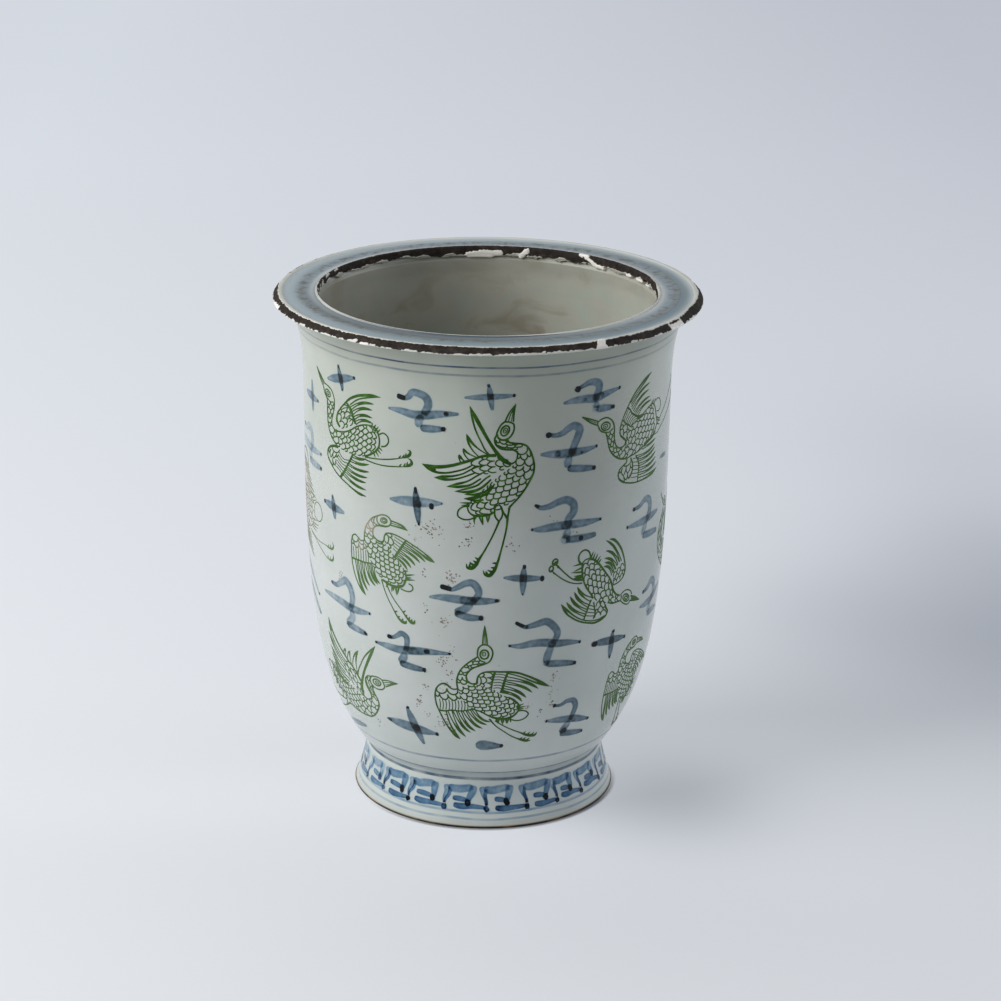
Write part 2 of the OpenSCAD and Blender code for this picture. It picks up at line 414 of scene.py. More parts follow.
# The foot: a flared hollow ring. Its lower edge is wiped bare before the firing, so the buff clay
# shows there, scorched brown in places.
bare_clay, tree, shader, place = blank("scorched_bare_porcelain_clay")
scorch = add(tree, "TexNoise", {"Vector": place, "Scale": 1 / (22 * MM), "Detail": 5.0})
burnt = add(tree, "ValToRGB", [scorch], [(0.4, "#1a1410"), (0.52, "#33261d"), (0.64, "#75593f"),
                                         (0.78, "#b39a7d")])
height = add(tree, "SeparateXYZ", [place]).outputs["Z"]
thin = add(tree, "MapRange", [height, 1.5 * MM, 2.2 * MM])
wire(shader, {"Base Color": add(tree, "MixRGB", [thin, burnt, linear("#b4b6ab")]), "Roughness": 0.85})
grit = add(tree, "TexNoise", {"Vector": place, "Scale": 1 / (1.2 * MM), "Detail": 3.0})
rough = add(tree, "Bump", {"Height": grit, "Strength": 0.5, "Distance": 0.3 * MM})
wire(shader, {"Normal": rough})


def foot_in(z):
    """Inner radius of the foot at a height."""
    return foot_out(z) - FOOT_T


turned("bare_foot_edge_clay",
       [edge([(foot_in(0), 0), (foot_out(0) - BEVEL, 0)]),
        bend((FOOT_R - BEVEL, BEVEL), BEVEL, -90, 0),
        edge([(FOOT_R, BEVEL), (foot_out(BARE_H), BARE_H)]),
        edge([(foot_out(BARE_H), BARE_H), (foot_in(BARE_H), BARE_H)]),
        climb(foot_in, BARE_H, 0)], [bare_clay], ["bare_foot_edge"])
turned("foot_ring_glazed",
       [climb(foot_out, BARE_H, FOOT_H),
        edge([(WAIST_R, FOOT_H), (LEDGE_R, FOOT_H)]),
        edge([(LEDGE_R, FOOT_H), (LEDGE_R, RECESS_H)]),
        edge([(LEDGE_R, RECESS_H), (foot_in(RECESS_H), RECESS_H)]),
        climb(foot_in, RECESS_H, BARE_H),
        edge([(foot_in(BARE_H), BARE_H), (foot_out(BARE_H), BARE_H)])],
       [foot_glaze, inside_glaze], ["foot_ring"], inner=(1, 2, 3, 4))

# The floor: a round slab of the same clay with the drain hole in its middle. It rests on the foot's
# ledge, luted there, and is glazed with the inside.
turned("floor_disc_glazed",
       [edge([(LEDGE_R, RECESS_H), (LEDGE_R, FLOOR_TOP)]),
        edge([(r, FLOOR_TOP) for r in np.linspace(LEDGE_R, DRAIN_R + 1, 12)]),
        bend((DRAIN_R + 1, FLOOR_TOP - 1), 1, 90, 180),
        edge([(DRAIN_R, FLOOR_TOP - 1), (DRAIN_R, RECESS_H)]),
        edge([(r, RECESS_H) for r in np.linspace(DRAIN_R, LEDGE_R, 12)])],
       [inside_glaze], ["floor_disc"])


# The bowl, the wall and the neck: three thrown sections, luted with half laps and glazed as one.
def lap(z):
    """The half-lap seam at a height, from the outside to the inside."""
    middle = (pot_out(z) + pot_in(z)) / 2
    return [edge([(pot_out(z), z), (middle, z)]), edge([(middle, z), (middle, z + LAP)]),
            edge([(middle, z + LAP), (pot_in(z + LAP), z + LAP)])]


def back(runs):
    """The same runs the other way, with the clay on their other side."""
    return [(points[::-1], -outward[::-1]) for points, outward in reversed(runs)]


cove = [(WAIST_R + (BOWL_R - WAIST_R) * (1 - math.cos(a)), FOOT_H + (BOWL_Z - FOOT_H) * math.sin(a))
        for a in np.radians(np.linspace(0, 90, 9))]
turned("bowl_glazed",
       [edge(cove), climb(pot_out, BOWL_Z, BOWL_SEAM)] + lap(BOWL_SEAM) +
       [climb(pot_in, BOWL_SEAM + LAP, FLOOR_TOP),
        edge([(FLOOR_IN_R, FLOOR_TOP), (LEDGE_R, FLOOR_TOP)]),
        edge([(LEDGE_R, FLOOR_TOP), (LEDGE_R, FOOT_H)]),
        edge([(LEDGE_R, FOOT_H), (WAIST_R, FOOT_H)])],
       [bowl_glaze, inside_glaze], ["bowl"], inner=range(2, 9))
turned("wall_glazed",
       [climb(pot_out, BOWL_SEAM, NECK_SEAM)] + lap(NECK_SEAM) +
       [climb(pot_in, NECK_SEAM + LAP, BOWL_SEAM + LAP)] + back(lap(BOWL_SEAM)),
       [wall_glaze, inside_glaze], ["wall"], inner=range(1, 8))
turned("neck_glazed",
       [climb(pot_out, NECK_SEAM, FLANGE_SEAM)] + lap(FLANGE_SEAM) +
       [climb(pot_in, FLANGE_SEAM + LAP, NECK_SEAM + LAP)] + back(lap(NECK_SEAM)),
       [neck_glaze, inside_glaze], ["neck"], inner=range(1, 8))


# The flange: a flat ring, bevelled at both rims. Cobalt is brushed round it on the wheel, in streaks
# that part in the middle, where iron has come through in olive-brown mottles.
brushed_cobalt, tree, shader, place = blank("brushed_cobalt_under_glaze")
flat = add(tree, "VectorMath", [place, (1, 1, 0)], operation="MULTIPLY")
radius = add(tree, "VectorMath", [flat], operation="LENGTH")
sway = add(tree, "TexNoise", {"Vector": place, "Scale": 1 / (45 * MM), "Detail": 2.0})
drift = add(tree, "MapRange", [sway, 0, 1, -1.6 * MM, 1.6 * MM])
drawn = add(tree, "Math", [radius.outputs["Value"], drift], operation="ADD")
band = add(tree, "MapRange", [drawn, 130 * MM, 160 * MM])
thin = add(tree, "ValToRGB", [band], [(0.0, "#c4c8c4"), (0.09, "#ccd2d0"), (0.15, "#c8d0d2"),
                                      (0.2, "#b0bdc4"), (0.27, "#98a6b1"), (0.42, "#8b98a0"),
                                      (0.5, "#98a6ad"), (0.62, "#a5b3bb"), (0.74, "#b0bfc7"),
                                      (0.84, "#c0ccd0"), (0.93, "#d4dad9"), (1.0, "#dcdfda")])
heavy = add(tree, "ValToRGB", [band], [(0.0, "#767e81"), (0.05, "#5f6a72"), (0.14, "#5e6a73"),
                                       (0.22, "#6c777c"), (0.3, "#5f6868"), (0.4, "#7f8888"),
                                       (0.5, "#7e8d92"), (0.6, "#7e909a"), (0.7, "#8e9fa7"),
                                       (0.77, "#a2b0b6"), (0.84, "#b9c4c7"), (0.9, "#c6cecd"),
                                       (1.0, "#cfd3cd")])
# The flange takes its heavy tones where it faces the front: towards the front left on its inner half, and
# towards the front right on its outer half
toward_front = []
for way, low, high in (((-0.35, -1, 0), 10, 140), ((0.8, -1, 0), -120, 135)):
    facing = add(tree, "VectorMath", [place, way], operation="DOT_PRODUCT")
    toward_front.append(add(tree, "MapRange", [facing.outputs["Value"], low * MM, high * MM]))
outward = add(tree, "MapRange", [band, 0.36, 0.5])
load = add(tree, "MixRGB", [outward, toward_front[0], toward_front[1]])
tone = add(tree, "MixRGB", [load, thin, heavy])
streaks = add(tree, "TexNoise", {"Vector": add(tree, "CombineXYZ", {"X": drawn}), "Scale": 1 / (1.6 * MM),
                                 "Detail": 3.0})
stroke = add(tree, "MapRange", [streaks, 0.35, 0.7, 0.0, 0.3])
tone = add(tree, "MixRGB", [stroke, tone, linear("#a9b5ba")])
middle = add(tree, "Math", [drawn, 142 * MM], operation="SUBTRACT")
middle = add(tree, "Math", [middle], operation="ABSOLUTE")
near_middle = add(tree, "MapRange", [middle, 1.5 * MM, 6 * MM, 1.0, 0.0])
mottle = add(tree, "TexNoise", {"Vector": place, "Scale": 1 / (6 * MM), "Detail": 5.0, "Roughness": 0.65})
through = add(tree, "MapRange", [mottle, 0.47, 0.62, 0, 0.68])
share = add(tree, "Math", [through, near_middle], operation="MULTIPLY")
tone = add(tree, "MixRGB", [share, tone, linear("#66604e")])
wire(shader, {"Base Color": tone})
glaze_skin(tree, shader, place, 0.24)

FLAT_Z = POT_H - 0.7
RIM_TOP_R, LIP_TOP_R, LIP_R, LIP_H = 159.1, 131.6, 131.7, 8.0
# The turn under the rim ends level, so the run up it stops this far short of its end
SHORT = 0.02
# Radius and height along the top of the flange: a raised outer rim, a fall to it from a low crest, a
# shallow trough and the mouth's lip
relief = [(RIM_TOP_R, FLAT_Z), (157.2, FLAT_Z + 0.05), (155.2, FLAT_Z - 0.55), (153.0, FLAT_Z - 0.75),
          (149.5, FLAT_Z - 0.45), (146.0, FLAT_Z - 0.05), (142.5, FLAT_Z - 0.3), (139.0, FLAT_Z - 0.5),
          (135.8, FLAT_Z - 0.35), (133.4, FLAT_Z + 0.05), (LIP_TOP_R, FLAT_Z - 0.2)]


def flow(points, step):
    """Close points along a smooth curve through these points, whose first two numbers are the place."""
    knots = np.array(points, float)
    gaps = np.linalg.norm(np.diff(knots[:, :2], axis=0), axis=1)
    reach = np.concatenate([[0], np.cumsum(gaps)])
    slopes = np.gradient(knots, reach, axis=0)
    at = np.linspace(0, reach[-1], max(3, int(reach[-1] / step) + 1))
    k = np.clip(np.searchsorted(reach, at, side="right") - 1, 0, len(gaps) - 1)
    h = gaps[k][:, None]
    x = (at - reach[k])[:, None] / h
    return ((2 * x ** 3 - 3 * x ** 2 + 1) * knots[k] + (x ** 3 - 2 * x ** 2 + x) * h * slopes[k]
            + (3 * x ** 2 - 2 * x ** 3) * knots[k + 1] + (x ** 3 - x ** 2) * h * slopes[k + 1])


turned("rim_flange_glazed",
       [climb(pot_out, FLANGE_SEAM, EDGE_Z - SHORT),
        edge([(FLANGE_R, EDGE_Z - SHORT), (RIM_TOP_R, FLAT_Z)]),
        edge(flow(relief, 1.2)),
        edge([(LIP_TOP_R, FLAT_Z - 0.2), (LIP_R, POT_H - LIP_H)]),
        edge([(LIP_R, POT_H - LIP_H), (pot_in(FLANGE_SEAM + LAP), FLANGE_SEAM + LAP)])] +
       back(lap(FLANGE_SEAM)),
       [neck_glaze, brushed_cobalt, inside_glaze], ["rim_flange"], inner=(2,),
       well=(3, 4))

# The rim's two edges were dressed with iron slip, fired nearly black and matt. The white glaze lips over
# it in a raised, ragged roll, runs across it in places, and has broken away from it in others.
rng = random.Random(19)


def wander(angle, spread, waves, reach):
    """A smooth wandering value round the pot: so many waves up to a highest count, of a given spread."""
    total = np.zeros_like(angle)
    for _ in range(waves):
        total += math.sqrt(2 / waves) * np.sin(angle * rng.randint(3, reach)
                                               + rng.uniform(0, 2 * math.pi))
    return spread * total


def from_run(along, deep, run):
    """Distance, in mm, outside a run of glaze: a band of its reach from one place to another."""
    one, two, reach = np.array(run[:2]), np.array(run[2:4]), run[4]
    way = two - one
    share = np.clip(((along - one[0]) * way[0] + (deep - one[1]) * way[1]) / max(way @ way, 1e-6), 0, 1)
    return np.hypot(along - one[0] - share * way[0], deep - one[1] - share * way[1]) - reach


def dressing(name, path, around, first, last, runs, patches, swell, sink, nodes):
    """A ring over an edge, from its path, which goes up the outside and down the inside. Iron lies
    between two distances along the path and in the patches, and glaze elsewhere and in the runs. Both
    are (angle, distance, angle, distance, reach). The attribute bare is the distance into the iron, in
    mm, and thick is how far the glaze has gathered. Past the iron the skin sinks into the clay."""
    rows = flow(path, 0.42)
    run, outward = edge(rows[:, :2])
    depth = np.concatenate([[0], np.cumsum(np.linalg.norm(np.diff(run, axis=0), axis=1))])
    angle = np.arange(around) * 2 * math.pi / around
    r = run[:, 0].mean()
    deep = np.repeat(depth[:, None], around, 1)
    bare = np.minimum(deep - first(angle)[None, :], last(angle)[None, :] - deep)
    lump = np.zeros_like(bare)
    ragged = wander(angle, 0.22, 9, 320)[None, :]
    for k, (a0, d0, a1, d1, reach) in enumerate(list(runs) + list(patches)):
        middle = math.radians((a0 + a1) / 2)
        along = ((angle - middle + math.pi) % (2 * math.pi) - math.pi) * r
        half = math.radians(a1 - a0) / 2 * r
        away = from_run(np.repeat(along[None, :], len(depth), 0), deep, (-half, d0, half, d1, reach))
        bare = np.minimum(bare, away + ragged) if k < len(runs) else np.maximum(bare, -away)
        if k < len(runs) and reach > 1.2:
            lump = np.maximum(lump, swell * np.exp(-(np.clip(away + reach, 0, None) / reach) ** 2))
    roll = np.exp(-((bare + 0.5) / 0.45) ** 2) * 0.26
    iron = 1 / (1 + np.exp(-(bare + 0.05) / 0.12))
    lift = (0.3 + roll + lump) * (1 - iron) + 0.1 * iron
    past = np.clip((deep - last(angle)[None, :] - 1.0) / 0.9, 0, 1)
    lift -= sink * past ** 2 * (3 - 2 * past) * np.clip(1 - 2 * lump / swell, 0, 1)
    fade = np.clip(np.minimum(depth, depth[-1] - depth) / 1.2, 0, 1)[:, None]
    lift = lift * fade - 0.12 * (1 - fade)
    skin = np.stack([run[:, :1] + outward[:, :1] * lift, run[:, 1:] + outward[:, 1:] * lift], axis=2)
    sunk = (run - outward * 0.9)[[-1, 0]]
    turned_to = np.stack([np.sin(angle), -np.cos(angle)], axis=1)[None]
    skin = np.concatenate([skin[:, :, :1] * turned_to, np.minimum(skin[:, :, 1:], POT_H)], axis=2)
    inside = np.repeat(sunk[:, None, :], around, 1)
    inside = np.concatenate([inside[:, :, :1] * turned_to, inside[:, :, 1:]], axis=2)
    facing = np.cross(np.roll(skin, -1, axis=1) - np.roll(skin, 1, axis=1), np.gradient(skin, axis=0))
    facing /= np.linalg.norm(facing, axis=2)[:, :, None]
    backs = np.repeat(-outward[[-1, 0]][:, None, :], around, 1)
    backs = np.concatenate([backs[:, :, :1] * turned_to, backs[:, :, 1:]], axis=2)
    facing = np.concatenate([facing, backs])
    points = np.concatenate([skin, inside]) * MM
    count, j = len(points), np.arange(around)
    then = (j + 1) % around
    faces, normals = [], []
    for k in range(count):
        a, b = k * around, (k + 1) % count * around
        faces.append(np.stack([a + j, a + then, b + then, b + j], axis=1))
        one, two = facing[k], facing[(k + 1) % count]
        normals.append(np.stack([one[j], one[then], two[then], two[j]], axis=1))
    bare = np.concatenate([bare, np.full((2, around), -3.0)])
    thick = np.concatenate([np.clip(lump / swell * 1.6, 0, 1), np.zeros((2, around))])
    return finish_mesh(name, points.reshape(-1, 3), np.concatenate(faces),
                       np.concatenate(normals).reshape(-1, 3), [iron_and_glaze], nodes,
                       values={"bare": bare.ravel(), "thick": thick.ravel()})


# Iron slip, nearly black and as rough as biscuit, under white glaze that is glossy up to its broken edge
iron_and_glaze, tree, shader, place = blank("iron_slip_under_broken_glaze")
inward = add(tree, "Attribute", attribute_name="bare").outputs["Fac"]
crumbs = add(tree, "TexNoise", {"Vector": place, "Scale": 1 / (1.6 * MM), "Detail": 3.0})
crumb = add(tree, "MapRange", [crumbs, 0, 1, -0.55, 0.55])
broken = add(tree, "Math", [inward, crumb], operation="ADD")
iron = add(tree, "MapRange", [broken, -0.12, 0.12])
slip = add(tree, "TexNoise", {"Vector": place, "Scale": 1 / (5 * MM), "Detail": 5.0})
dark = add(tree, "ValToRGB", [slip], [(0.3, "#1b1713"), (0.55, "#302a26"), (0.75, "#4a423a")])
rust = add(tree, "MapRange", [broken, 0.1, 0.7, 0.7, 0.0])
dark = add(tree, "MixRGB", [rust, dark, linear("#574235")])
height = add(tree, "SeparateXYZ", [place]).outputs["Z"]
flat = add(tree, "VectorMath", [place, (1, 1, 0)], operation="MULTIPLY")
radius = add(tree, "VectorMath", [flat], operation="LENGTH")
lip = add(tree, "MapRange", [height, 397.5 * MM, 400.5 * MM])
outside = add(tree, "MapRange", [radius.outputs["Value"], 140 * MM, 141 * MM])
light = add(tree, "Math", [lip, outside], operation="MAXIMUM")
pale = glaze_tone(tree, place, "#dfe1db", "#d3d5cd")
gathered_glaze_and_shade = add(tree, "Attribute", attribute_name="thick").outputs["Fac"]
light = add(tree, "Math", [light, gathered_glaze_and_shade], operation="MAXIMUM")
# Below the lip, on the inside, the glaze takes the inside's colour with its painted shade
pale = add(tree, "MixRGB", [light, inside_tone(tree, place), pale])
pale = add(tree, "MixRGB", [gathered_glaze_and_shade, pale, linear("#f8f5ee")])
# The cobalt was brushed over the mouth's lip, fully at the front and hardly at the back
rightward = add(tree, "SeparateXYZ", [place]).outputs["X"]
kept = add(tree, "MapRange", [rightward, 12 * MM, 70 * MM, 0, 1.1 * MM])
inner = add(tree, "Math", [radius.outputs["Value"], kept], operation="SUBTRACT")
flat_top = add(tree, "MapRange", [inner, 130.85 * MM, 131.2 * MM])
not_outer = add(tree, "Math", [1.0, outside], operation="SUBTRACT")
full = add(tree, "VectorMath", [place, (0.1, -1, 0)], operation="DOT_PRODUCT")
full = add(tree, "MapRange", [full.outputs["Value"], 50 * MM, 122 * MM])
brushed_lip = add(tree, "MixRGB", [full, linear("#c4c8c4"), linear("#5b656e")])
share = add(tree, "Math", [flat_top, not_outer], operation="MULTIPLY")
pale = add(tree, "MixRGB", [share, pale, brushed_lip])
wire(shader, {"Base Color": add(tree, "MixRGB", [iron, pale, dark]), "Specular IOR Level": 0.25})
gloss = add(tree, "MapRange", [iron, 0, 1, 0.22, 0.8])
wire(shader, {"Roughness": gloss})
biscuit = add(tree, "TexNoise", {"Vector": place, "Scale": 1 / (1.1 * MM), "Detail": 4.0})
rough = add(tree, "Bump", {"Height": biscuit, "Strength": 0.35, "Distance": 0.4 * MM})
wire(shader, {"Normal": rough})

# The outer edge: it starts under the flange and ends on the flat. Angles are degrees from the front.
outer_path = [(160.2, EDGE_Z - 0.5), (162.4, EDGE_Z - 0.6), (163.75, EDGE_Z - 0.25),
              (163.2, EDGE_Z + 0.7), (162.1, EDGE_Z + 1.8), (160.9, EDGE_Z + 3.0), (159.9, POT_H - 0.85),
              (159.0, POT_H - 0.62), (157.8, POT_H - 0.62), (156.4, FLAT_Z + 0.02)]
OUTER_RUNS = [(-79.0, 2.6, -74.0, 3.4, 2.6), (29.6, 2.5, 31.1, 10, 3.0), (30.7, 1.5, 30.9, 3, 3.3),
              (56.6, 4.2, 61.0, 4.2, 3.3), (55.9, 6, 55.9, 11, 1.2), (61.8, 6, 61.9, 11, 1.1),
              (66.6, 2.6, 69.4, 2.8, 2.0), (-62.5, 3.0, -60.8, 3.4, 1.2), (-57.6, 3.2, -55.6, 3.8, 1.2),
              (-47.5, 3.4, -44.5, 3.6, 0.8), (-38, 3.2, -35.4, 5.0, 1.0), (-34, 3.2, -32.2, 3.6, 1.3),
              (-21, 3.5, -18.6, 3.6, 0.8), (-3, 3.6, -1.4, 4.0, 0.9), (6.8, 3.4, 9.5, 4.2, 1.0),
              (13.5, 3.8, 14.6, 5.0, 0.8), (48, 2.6, 51, 3.4, 0.9)]
OUTER_RUNS += [(a, d, a + rng.uniform(0.3, 2.0), d, rng.uniform(0.3, 0.75))
               for a, d in ((rng.uniform(-180, 180), rng.uniform(2.6, 3.9)) for _ in range(150))]
OUTER_PATCHES = [(-105.8, 9.7, -104.8, 9.7, 0.7), (-114.2, 9.6, -109.4, 9.8, 0.85),
                 (-122, 9.8, -119.4, 9.8, 0.75), (-128.6, 9.9, -125.8, 9.8, 0.7)]


def outer_first(angle):
    """The iron's lower line, which the glaze keeps ragged."""
    off = (angle + math.pi) % (2 * math.pi) - math.pi
    return (3.6 + 1.1 * np.exp(-((off - 0.22) / 0.33) ** 2) - 0.5 * np.exp(-((off - 0.8) / 0.18) ** 2)
            + wander(angle, 0.24, 9, 120) + wander(angle, 0.2, 9, 320))


def outer_last(angle):
    """The iron's upper line: it keeps off the corner round the back, and the glaze covers it at the left."""
    off = (angle + math.pi) % (2 * math.pi) - math.pi
    covered = np.clip((-off - 1.64) / 0.14, 0, 1) * np.clip((off + 2.3) / 0.25, 0, 1)
    behind = np.clip((np.abs(off) - 1.9) / 0.2, 0, 1)
    return (9.2 + 0.9 * np.exp(-((off + 0.1) / 0.5) ** 2) + 1.7 * np.exp(-((off - 1.27) / 0.12) ** 2)
            + wander(angle, 0.18, 9, 90) + wander(angle, 0.12, 9, 300) - 1.1 * behind - 7.0 * covered)


dressing("outer_edge_iron_and_glaze", outer_path, 1440, outer_first, outer_last, OUTER_RUNS,
         OUTER_PATCHES, 0.35, 0.0, ["outer_edge_dressing"])

# The mouth's edge: the same slip down the upright face, where the glaze has gathered in lumps at the
# back, and has run across the iron in one long drip.
mouth_path = [(132.0, FLAT_Z), (131.4, FLAT_Z + 0.3), (130.4, FLAT_Z + 0.3), (129.6, FLAT_Z - 0.3),
              (129.4, FLAT_Z - 1.2), (129.4, POT_H - 8.0), (129.7, POT_H - 10.5), (130.3, POT_H - 12.6)]
MOUTH_RUNS = [(-172.6, 8.6, -177, 7.2, 1.9), (-177, 7.4, -184.2, 7.6, 2.3), (-173, 9.6, -181, 9.8, 1.9),
              (168.4, 9.4, 166.2, 4.9, 2.2), (145.6, 2.4, 142.4, 3.0, 1.6), (143.6, 3.2, 139.4, 8.0, 1.5),
              (139.4, 8.6, 135.4, 9.8, 1.6), (-62, 2.1, 58, 2.1, 1.15),
              (-100.5, 3.4, -98, 4.8, 0.8), (-95, 3.2, -93.2, 6.2, 0.7),
              (-108, 2.2, -105, 3.0, 0.8), (-88.5, 2.6, -86.5, 5.4, 0.7), (-115, 2.2, -113, 2.6, 0.7)]
MOUTH_RUNS += [(a, 9.7, a + rng.uniform(0.3, 2.4), 9.7, rng.uniform(0.5, 1.15))
               for a in (rng.uniform(60, 300) for _ in range(80))]
MOUTH_RUNS += [(122.6, 9.0, 120.4, 8.6, 1.25), (116, 8.8, 112, 8.5, 1.22), (108, 8.8, 105.6, 8.5, 1.22)]
MOUTH_PATCHES = [(a, 2.3, a + rng.uniform(0.2, 1.5), 2.3, rng.uniform(0.2, 0.35))
                 for a in (-50, -38, -22, 3, 21, 37, 52)]


def mouth_first(angle):
    """The iron's upper line: it laps over the lip at the two sides."""
    off = np.degrees((angle + math.pi) % (2 * math.pi) - math.pi)
    behind = np.clip((np.abs(off) - 88) / 12, 0, 1)
    return (2.2 - 1.1 * behind + wander(angle, 0.14, 9, 120) + 0.9 * np.exp(-((off - 93) / 10) ** 2)
            - 0.8 * np.exp(-((off - 77) / 6) ** 2) - 0.5 * np.exp(-((off + 86) / 9) ** 2))


def mouth_last(angle):
    """The iron's lower line: the glaze has gathered under it at the back and the sides."""
    off = np.degrees((angle + math.pi) % (2 * math.pi) - math.pi)
    return (8.7 + wander(angle, 0.75, 9, 45) + wander(angle, 0.3, 9, 220)
            - 2.4 * np.exp(-((off + 100) / 26) ** 2) - 1.1 * np.exp(-((off + 142) / 20) ** 2)
            - 1.7 * np.exp(-((off - 112) / 20) ** 2))


dressing("mouth_edge_iron_and_glaze", mouth_path, 1152, mouth_first, mouth_last, MOUTH_RUNS,
         MOUTH_PATCHES, 0.7, 3.0, ["mouth_edge_dressing"])


# The blue painting. Cobalt was brushed on the raw clay, thin and slate grey, and the brush left a dark
# pool where it was set down or lifted. It lies under the glaze, so it has the glaze's own gloss. Places
# are (round, up) in mm: round the wall at its full radius from the front, and up from the ground.
def on_clay(angle, z, shape):
    """Points and outward directions on the clay, for angles from the front and heights."""
    r = shape(z)
    slope = (shape(z + 0.01) - shape(z - 0.01)) / 0.02
    out = 1 / np.hypot(1, slope)
    point = np.stack([r * np.sin(angle), -r * np.cos(angle), z], axis=-1)
    return point, np.stack([out * np.sin(angle), -out * np.cos(angle), -slope * out], axis=-1)


def cobalt(name, wash, middle, deep, pool):
    """Cobalt wash under the glaze, from the bare glaze to its pools by the attribute ink."""
    made, tree, shader, place = blank(name)
    ink = add(tree, "Attribute", attribute_name="ink").outputs["Fac"]
    load = add(tree, "TexNoise", {"Vector": place, "Scale": 1 / (5 * MM), "Detail": 4.0})
    uneven = add(tree, "MapRange", [load, 0.25, 0.75, 0.78, 1.26])
    laid = add(tree, "Math", [ink, uneven], operation="MULTIPLY")
    colour = add(tree, "ValToRGB", [laid], [(0.26, wash), (0.5, middle), (0.74, deep), (0.92, pool)])
    cover = add(tree, "MapRange", [laid, 0, 0.42])
    bare = outer_tone(tree, place)
    wire(shader, {"Base Color": add(tree, "MixRGB", [cover, bare, colour])})
    glaze_skin(tree, shader, place)
    return made


slate_cobalt = cobalt("slate_cobalt_wash", "#8da1ad", "#627884", "#263b45", "#010406")
bright_cobalt = cobalt("bright_cobalt_wash", "#8aa4b4", "#5a7d99", "#315478", "#03070e")

# Places across a stroke, as shares of half its width
WASH_V = (-1.0, -0.8, -0.55, -0.25, 0.0, 0.25, 0.55, 0.8, 1.0)
BRUSH_STEP = 0.9
THINNEST = 0.25
# How far the first stroke lies off the clay, and each other off the one before it
LIFT, LAYER = 0.05, 0.025


def wash(v):
    """How much ink lies across a stroke: a dark line near each edge, thinner in the middle."""
    return np.interp(np.abs(v), (0, 0.3, 0.6, 0.8, 1), (0.88, 0.9, 1.0, 0.9, 0.0))


def ribbon(sheet, path, width, columns, lift, ground, radius, ink=None):
    """Lays a strip along a path on the ground, columns wide, and adds it to the sheet's mesh."""
    s, z = path[:, 0], path[:, 1]
    squeeze = ground(z) / radius
    tangent = np.gradient(np.stack([s * squeeze.mean(), z], axis=1), axis=0)
    tangent /= np.maximum(np.linalg.norm(tangent, axis=1), 1e-9)[:, None]
    v = np.array(columns)[None, :]
    half = width[:, None] / 2
    ss = s[:, None] - tangent[:, 1:] * v * half / squeeze[:, None]
    zz = z[:, None] + tangent[:, :1] * v * half
    point, facing = on_clay(ss / radius, zz, ground)
    point = point + facing * (np.array(lift)[None, :, None])
    start = sum(len(part) for part in sheet["points"])
    rows, cols = ss.shape
    k = np.arange(rows - 1)[:, None] * cols + np.arange(cols - 1)[None, :] + start
    k = k.ravel()
    sheet["points"].append(point.reshape(-1, 3))
    sheet["normals"].append(facing.reshape(-1, 3))
    sheet["faces"].append(np.stack([k, k + cols, k + cols + 1, k + 1], axis=1))
    sheet["ink"].append(np.zeros(ss.size) if ink is None else ink(ss, zz).ravel())


def lay_sheet(name, sheet, material, attribute="ink", thin=0.0):
    """Turns a sheet of ribbons into an object that rides on the pot."""
    points, normals = np.concatenate(sheet["points"]) * MM, np.concatenate(sheet["normals"])
    faces = np.concatenate(sheet["faces"])
    one, two = points[faces[:, 1]] - points[faces[:, 0]], points[faces[:, 2]] - points[faces[:, 0]]
    wrong = np.einsum("ij,ij->i", np.cross(one, two), normals[faces[:, 0]]) < 0
    faces[wrong] = faces[wrong][:, ::-1]
    return finish_mesh(name, points, faces, normals[faces.ravel()], [material],
                       values={attribute: np.concatenate(sheet["ink"]),
                               "thin": np.full(len(points), thin)})


def new_sheet():
    """The mesh of a group of ribbons, as lists of parts."""
    return {"points": [], "normals": [], "faces": [], "ink": []}


def brushed(name, strokes, material, wider=1.0, fuller=1.0, ground=pot_out, radius=WALL_R):
    """Brush strokes, one over another. Each is a list of (round, up, width, ink) points, whose width and
    ink are multiplied by two factors. A stroke shows the ink of those under it, so the wash darkens
    where they cross."""
    sheet, under = new_sheet(), []
    for k, stroke in enumerate(strokes):
        path = flow([(s, z, wide * wider, load * fuller) for s, z, wide, load in stroke], BRUSH_STEP)
        width, load = np.maximum(path[:, 2], THINNEST), np.clip(path[:, 3], 0, 1)
        from_end = np.minimum(np.arange(len(path)), np.arange(len(path))[::-1]) * BRUSH_STEP
        width = width * np.sqrt(np.clip(from_end / (width / 2) * (2 - from_end / (width / 2)), 0.02, 1)
                                * (from_end < width / 2) + (from_end >= width / 2))
        below = list(under)

        def ink(ss, zz):
            clear = 1 - load[:, None] * wash(np.array(WASH_V))[None, :]
            clear[0] = clear[-1] = 1.0
            for lower, lower_width, lower_load in below:
                squeeze = ground(zz) / radius
                off = np.hypot((ss[:, :, None] - lower[None, None, :, 0]) * squeeze[:, :, None],
                               zz[:, :, None] - lower[None, None, :, 1])
                near = off.argmin(axis=2)
                v = np.take_along_axis(off, near[:, :, None], 2)[:, :, 0] / (lower_width[near] / 2)
                clear = clear * (1 - lower_load[near] * wash(v))
            return 1 - clear

        ribbon(sheet, path, width, WASH_V, [LIFT + LAYER * k] * len(WASH_V), ground, radius, ink)
        under.append((path, width, load))
    return lay_sheet(name, sheet, material)


def pool(s, z, long, wide, tilt=0.0, ink=1.0):
    """A pool of ink as a short stroke, tilted from level by so many degrees."""
    c, d = math.cos(math.radians(tilt)) * long / 2, math.sin(math.radians(tilt)) * long / 2
    return [(s - c, z - d, wide, ink), (s, z, wide, ink), (s + c, z + d, wide, ink)]


